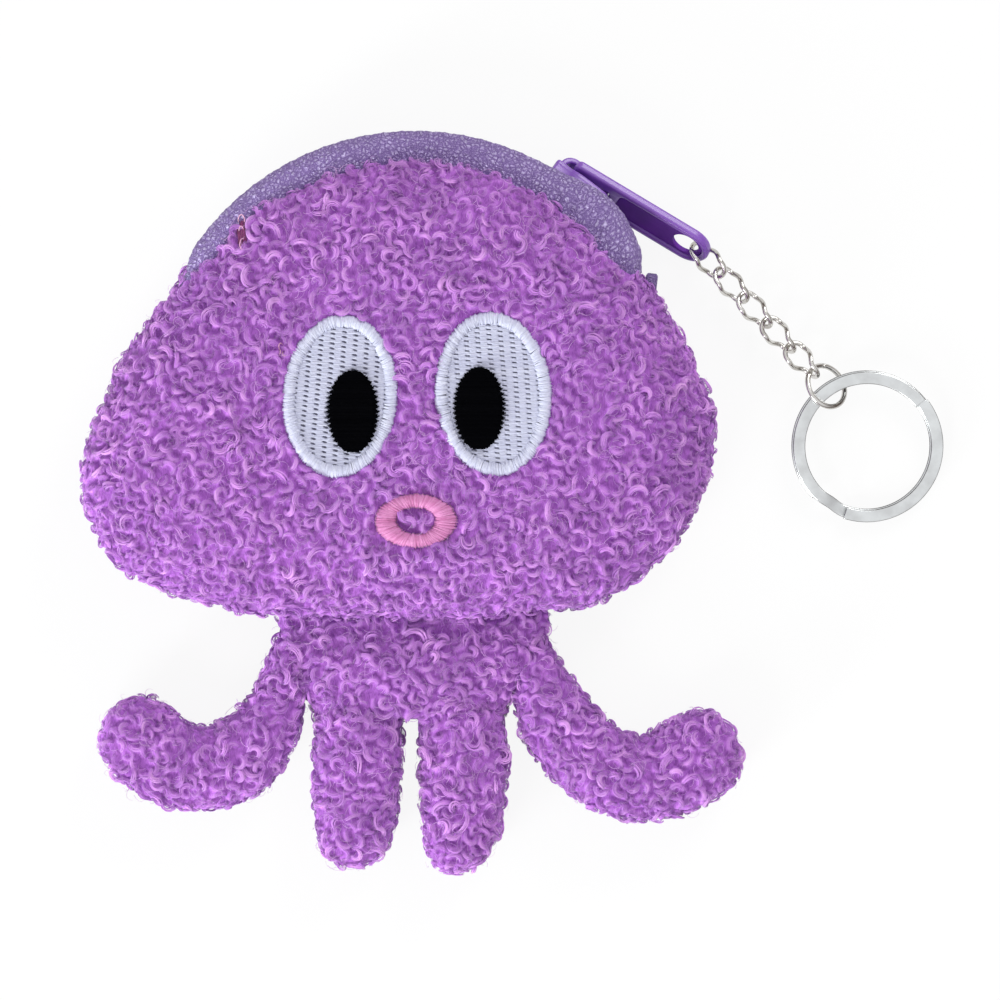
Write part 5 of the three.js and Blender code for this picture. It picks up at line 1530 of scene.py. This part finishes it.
def link_path(count=120):
    """A long loop of wire, one end turned a quarter from the other."""
    half, run = (LINK_WIDTH - WIRE) / 2, LINK_LENGTH - LINK_WIDTH
    length = 2 * run + TAU * half
    x, y = np.zeros(count), np.zeros(count)
    for i, d in enumerate(np.arange(count) / count * length):
        if d < run:
            x[i], y[i] = d, -half
        elif d < run + math.pi * half:
            turn = (d - run) / half - math.pi / 2
            x[i], y[i] = run + half * math.cos(turn), half * math.sin(turn)
        elif d < 2 * run + math.pi * half:
            x[i], y[i] = run - (d - run - math.pi * half), half
        else:
            turn = (d - 2 * run - math.pi * half) / half + math.pi / 2
            x[i], y[i] = half * math.cos(turn), half * math.sin(turn)
    twist = smoothstep(x, 0, run) * math.pi / 2
    return np.stack([x + half, y * np.cos(twist), y * np.sin(twist)], -1)


for i, roll in enumerate(LINK_ROLLS):
    across = level * math.cos(roll) + rise * math.sin(roll)
    link_frame = axes_frame(heading, across, chain_from + heading * (CHAIN_START + i * pitch))
    path = moved(link_frame, link_path())[None]
    ups = unit(np.cross(np.roll(path, -1, 1) - path, path - path.mean(1, keepdims=True)))
    verts, faces, _ = tubes(path, 0.46 * WIRE, ups, 18, looped=True)
    link = mesh_object(f"chain_link_{i + 1}_wire", verts, faces)
    dress(link, f"link_{i + 1}", "steel", f"chain_link_{i + 1}", cover=STEEL)

jump_radius = JUMP_DIAMETER / 2 - WIRE / 2
jump_at = chain_from + heading * (chain_run - LINK_GRIP - JUMP_PLAY + jump_radius)
towards_split = np.array([math.cos(SPLIT_HEADING), math.sin(SPLIT_HEADING), 0])
jump_across = np.array([
    -math.sin(SPLIT_HEADING) * math.cos(JUMP_TILT),
    math.cos(SPLIT_HEADING) * math.cos(JUMP_TILT),
    math.sin(JUMP_TILT),
])
turn = np.radians(np.linspace(0, 357.2, 150)) + math.radians(150)
path = np.column_stack([polar(jump_radius, turn), np.zeros(150)])[None]
verts, faces, _ = tubes(path, WIRE / 2, (0, 0, 1), 18)
jump = mesh_object("jump_ring_wire", moved(axes_frame(towards_split, jump_across, jump_at), verts), faces)
dress(jump, "jump_ring", "steel", "jump_ring", cover=STEEL)

# Split ring: two turns of flat band, with a kinked crossing

split_middle = SPLIT_DIAMETER / 2 - SPLIT_BAND / 2
split_thick = 2 * SPLIT_TURN + SPLIT_SLIT
lean = math.asin((jump_at[2] - split_thick / 2 - 0.1) / (2 * split_middle))
split_at = jump_at + towards_split * (split_middle + SPLIT_ASIDE)
split_at[2] = jump_at[2] - split_middle * math.sin(lean)
split_frame = np.array(Matrix.Rotation(lean, 4, Vector((-towards_split[1], towards_split[0], 0))))
split_frame[:3, 3] = split_at
start = KINK_AT + KINK_SPAN / 2 + KINK_SPARE
crossing = TAU - KINK_SPAN - KINK_SPARE
step_at = math.radians(38) + TAU - start
count = 900
turned_by = np.linspace(0, 2 * TAU - KINK_SPAN - 2 * KINK_SPARE, count)
angle = start + turned_by
step_out = 0.16 - 0.34 * smoothstep(turned_by, step_at - 0.012, step_at + 0.012)
step_out = step_out + 0.18 * smoothstep(turned_by, TAU - KINK_SPAN, TAU)
notch = 0.16 * np.exp(-(((turned_by - step_at) / 0.012) ** 2))
kink = 0.5 * np.exp(-(((turned_by - (TAU - KINK_SPAN / 2 - KINK_SPARE)) / 0.14) ** 2))
z = (SPLIT_TURN + SPLIT_SLIT) / 2 * (1 - 2 * smoothstep(turned_by - crossing, 0, KINK_SPAN)) - notch
centre = np.column_stack([polar(split_middle + step_out - kink * 0.5, angle), z])
outwards = np.column_stack([polar(1.0, angle), np.zeros(count)])
edge = 0.2
section = rounded_box(-SPLIT_BAND / 2, -SPLIT_TURN / 2, SPLIT_BAND / 2, SPLIT_TURN / 2, edge, 5)
verts = centre[:, None] + outwards[:, None] * section[:, :1] + np.array([0, 0, 1.0]) * section[:, 1:]
verts = verts.reshape(-1, 3)
faces = facing_out(verts, swept_faces(count, len(section)))
split = mesh_object("split_ring_band", moved(split_frame, verts), faces)
split.data.materials.append(RING_STEEL)
split.data.materials.append(RING_WALL_PAINTED_SHADE)
# Faces of the band's side walls take the dark steel as painted shade and reflection.
painted_shade_wall = np.abs(section[:, 1] + np.roll(section[:, 1], -1)) / 2 < SPLIT_TURN / 2 - edge + 0.15
face_kind = np.concatenate([np.tile(painted_shade_wall, count - 1), [True, True]]).astype(np.int32)
split.data.polygons.foreach_set("material_index", face_kind)
dress(split, "split_ring", "steel", "split_ring")

# Loose ends: the tape's stub at the zip's foot, and threads left by the sewing

stub_at, stub_way = np.array([39.0, 19.6, 9.0]), unit(np.array([0.12, 0.99, 0.05]))
stub_side = unit(np.cross((0, 0, 1.0), stub_way))
turn = circle(20)
rings = []
for share in np.linspace(0, 1, 12):
    wide = (1 - 0.3 * smoothstep(share, 0.85, 1.0)) * squared(np.cos(turn), 0.35)
    high = 0.34 * squared(np.sin(turn), 0.5)
    middle = stub_at + stub_way * (-1.6 + 2.7 * share) + [0, 0, 0.2 * math.sin(share * 3)]
    rings.append(middle + stub_side * wide[:, None] + np.array([0, 0, 1.0]) * high[:, None])
verts, faces = closed_skin(np.array(rings))
stub = mesh_object("zip_tape_stub", verts, faces, {"fibre": verts})
dress(stub, "head", "zip_tape", cover=TAPE)


def on_face(x, y, above):
    return np.column_stack([x, y, face_height(x, y) + above])


share = np.linspace(0, 1, 24)
seam, loops = [], []
for n, aside in enumerate(np.linspace(-0.62, 0.62, 8)):
    reach = 2.35 * math.sqrt(1 - (aside / 0.85) ** 2)
    x = PIT_AT[0] + aside + 0.12 * np.sin(share * 7 + n)
    y = PIT_AT[1] + reach * (2 * share - 1)
    seam.append(on_face(x, y, -1.0 - 0.5 * np.abs(2 * share - 1) ** 4 + 0.1 * (n % 2)))
for x, y, reach, start, sweep in (
    (-28.5, 29.2, 0.75, -0.2, 3.6), (-28.2, 25.3, 0.7, 1.2, 3.9), (-28.5, 27.6, 0.5, 0.3, 3.0),
    (-21.9, 8.4, 0.45, 0.5, 4.0), (-21.3, 7.4, 0.4, 2.5, 3.6), (-22.2, 7.6, 0.35, 4.0, 3.2),
):
    turn = start + sweep * share
    x, y = x + 0.7 * reach * np.cos(turn), y + 1.3 * reach * np.sin(turn)
    loops.append(on_face(x, y, -0.75 + 0.8 * np.sin(np.pi * share)))
# The pit's threads are dark partly as their own colour and partly as painted shade of the pit.
dress(thread_piece("seam_thread", seam, 0.12, 6), "head", "pink_thread", cover=DARK_THREAD_AND_PIT_SHADE)
dress(thread_piece("loose_thread", loops, 0.085, 6), "head", "pink_thread", cover=THREAD)

# Stage, light and camera

floor_mesh = bpy.data.meshes.new("floor")
floor_mesh.from_pydata([(-3, -3, 0), (3, -3, 0), (3, 3, 0), (-3, 3, 0)], [], [(0, 1, 2, 3)])
floor = placed("floor", floor_mesh)
floor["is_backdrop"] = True
paper = Surface("white paper", roughness=0.9, specular_ior_level=0.1)
rays = paper.node("LightPath").node.outputs
shown = paper.maths("MAXIMUM", rays["Is Camera Ray"], rays["Is Glossy Ray"])
shown = paper.maths("MAXIMUM", shown, rays["Is Transmission Ray"])
paper.paint(base_color=paper.mixed(rays["Is Camera Ray"], (0.62, 0.62, 0.63, 1), grey(0.9)))
glow = paper.node("Emission", {"Color": grey(1), "Strength": 1.0})
lit = paper.node("MixShader", {0: paper.times(shown, 0.9), 1: paper.shader.outputs[0], 2: glow})
paper.feed(paper.tree.nodes["Material Output"].inputs["Surface"], lit)
floor_mesh.materials.append(paper.material)

world = bpy.data.worlds.new("studio")
world.use_nodes = True
bpy.context.scene.world = world
bpy.context.scene.view_settings.view_transform = "Standard"
sky = Nodes(world.node_tree)
sky.tree.nodes.clear()
rays = sky.node("LightPath").node.outputs
up = sky.node("SeparateXYZ", {"Vector": sky.node("TexCoord", out="Generated")}, 2)
mirrored = sky.ramp(
    up, (0.0, srgb(96, 84, 80)), (0.22, srgb(120, 108, 102)), (0.5, srgb(215, 214, 216)),
    (0.8, srgb(250, 250, 252)),
)
soft = sky.node("Background", {"Color": (1.0, 0.99, 1.0, 1), "Strength": 0.64})
seen = sky.node("Background", {"Color": mirrored, "Strength": 1.0})
white = sky.node("Background", {"Color": grey(1), "Strength": 1.0})
first = sky.node("MixShader", {0: rays["Is Glossy Ray"], 1: soft, 2: seen})
second = sky.node("MixShader", {0: rays["Is Camera Ray"], 1: first, 2: white})
output = sky.tree.nodes.new("ShaderNodeOutputWorld")
sky.feed(output.inputs["Surface"], second)


def area_light(name, at, power, size, colour=(1, 1, 1), towards=(0.0, -0.015, 0.008)):
    data = bpy.data.lights.new(name, "AREA")
    data.energy, data.size, data.shape, data.color = power, size, "DISK", colour
    lamp = placed(name, data)
    lamp.location = at
    lamp.rotation_euler = (Vector(towards) - Vector(at)).to_track_quat("-Z", "Y").to_euler()


area_light("key", (-0.45, -0.75, 0.6), 3.6, 0.3)
area_light("low", (-0.75, -0.75, 0.28), 9.5, 0.3, (0.94, 1.0, 1.0))
area_light("fill", (0.5, 0.75, 0.5), 4.5, 0.45)

camera_data = bpy.data.cameras.new("camera")
camera_data.sensor_width = 36
camera_data.lens = 36 * CAMERA_DISTANCE / VIEW_WIDTH
camera_data.clip_start, camera_data.clip_end = 0.05, 10
camera = placed("camera", camera_data)
camera.location = (0.0140, -0.0167, 1.209)
bpy.context.scene.camera = camera

low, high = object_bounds()
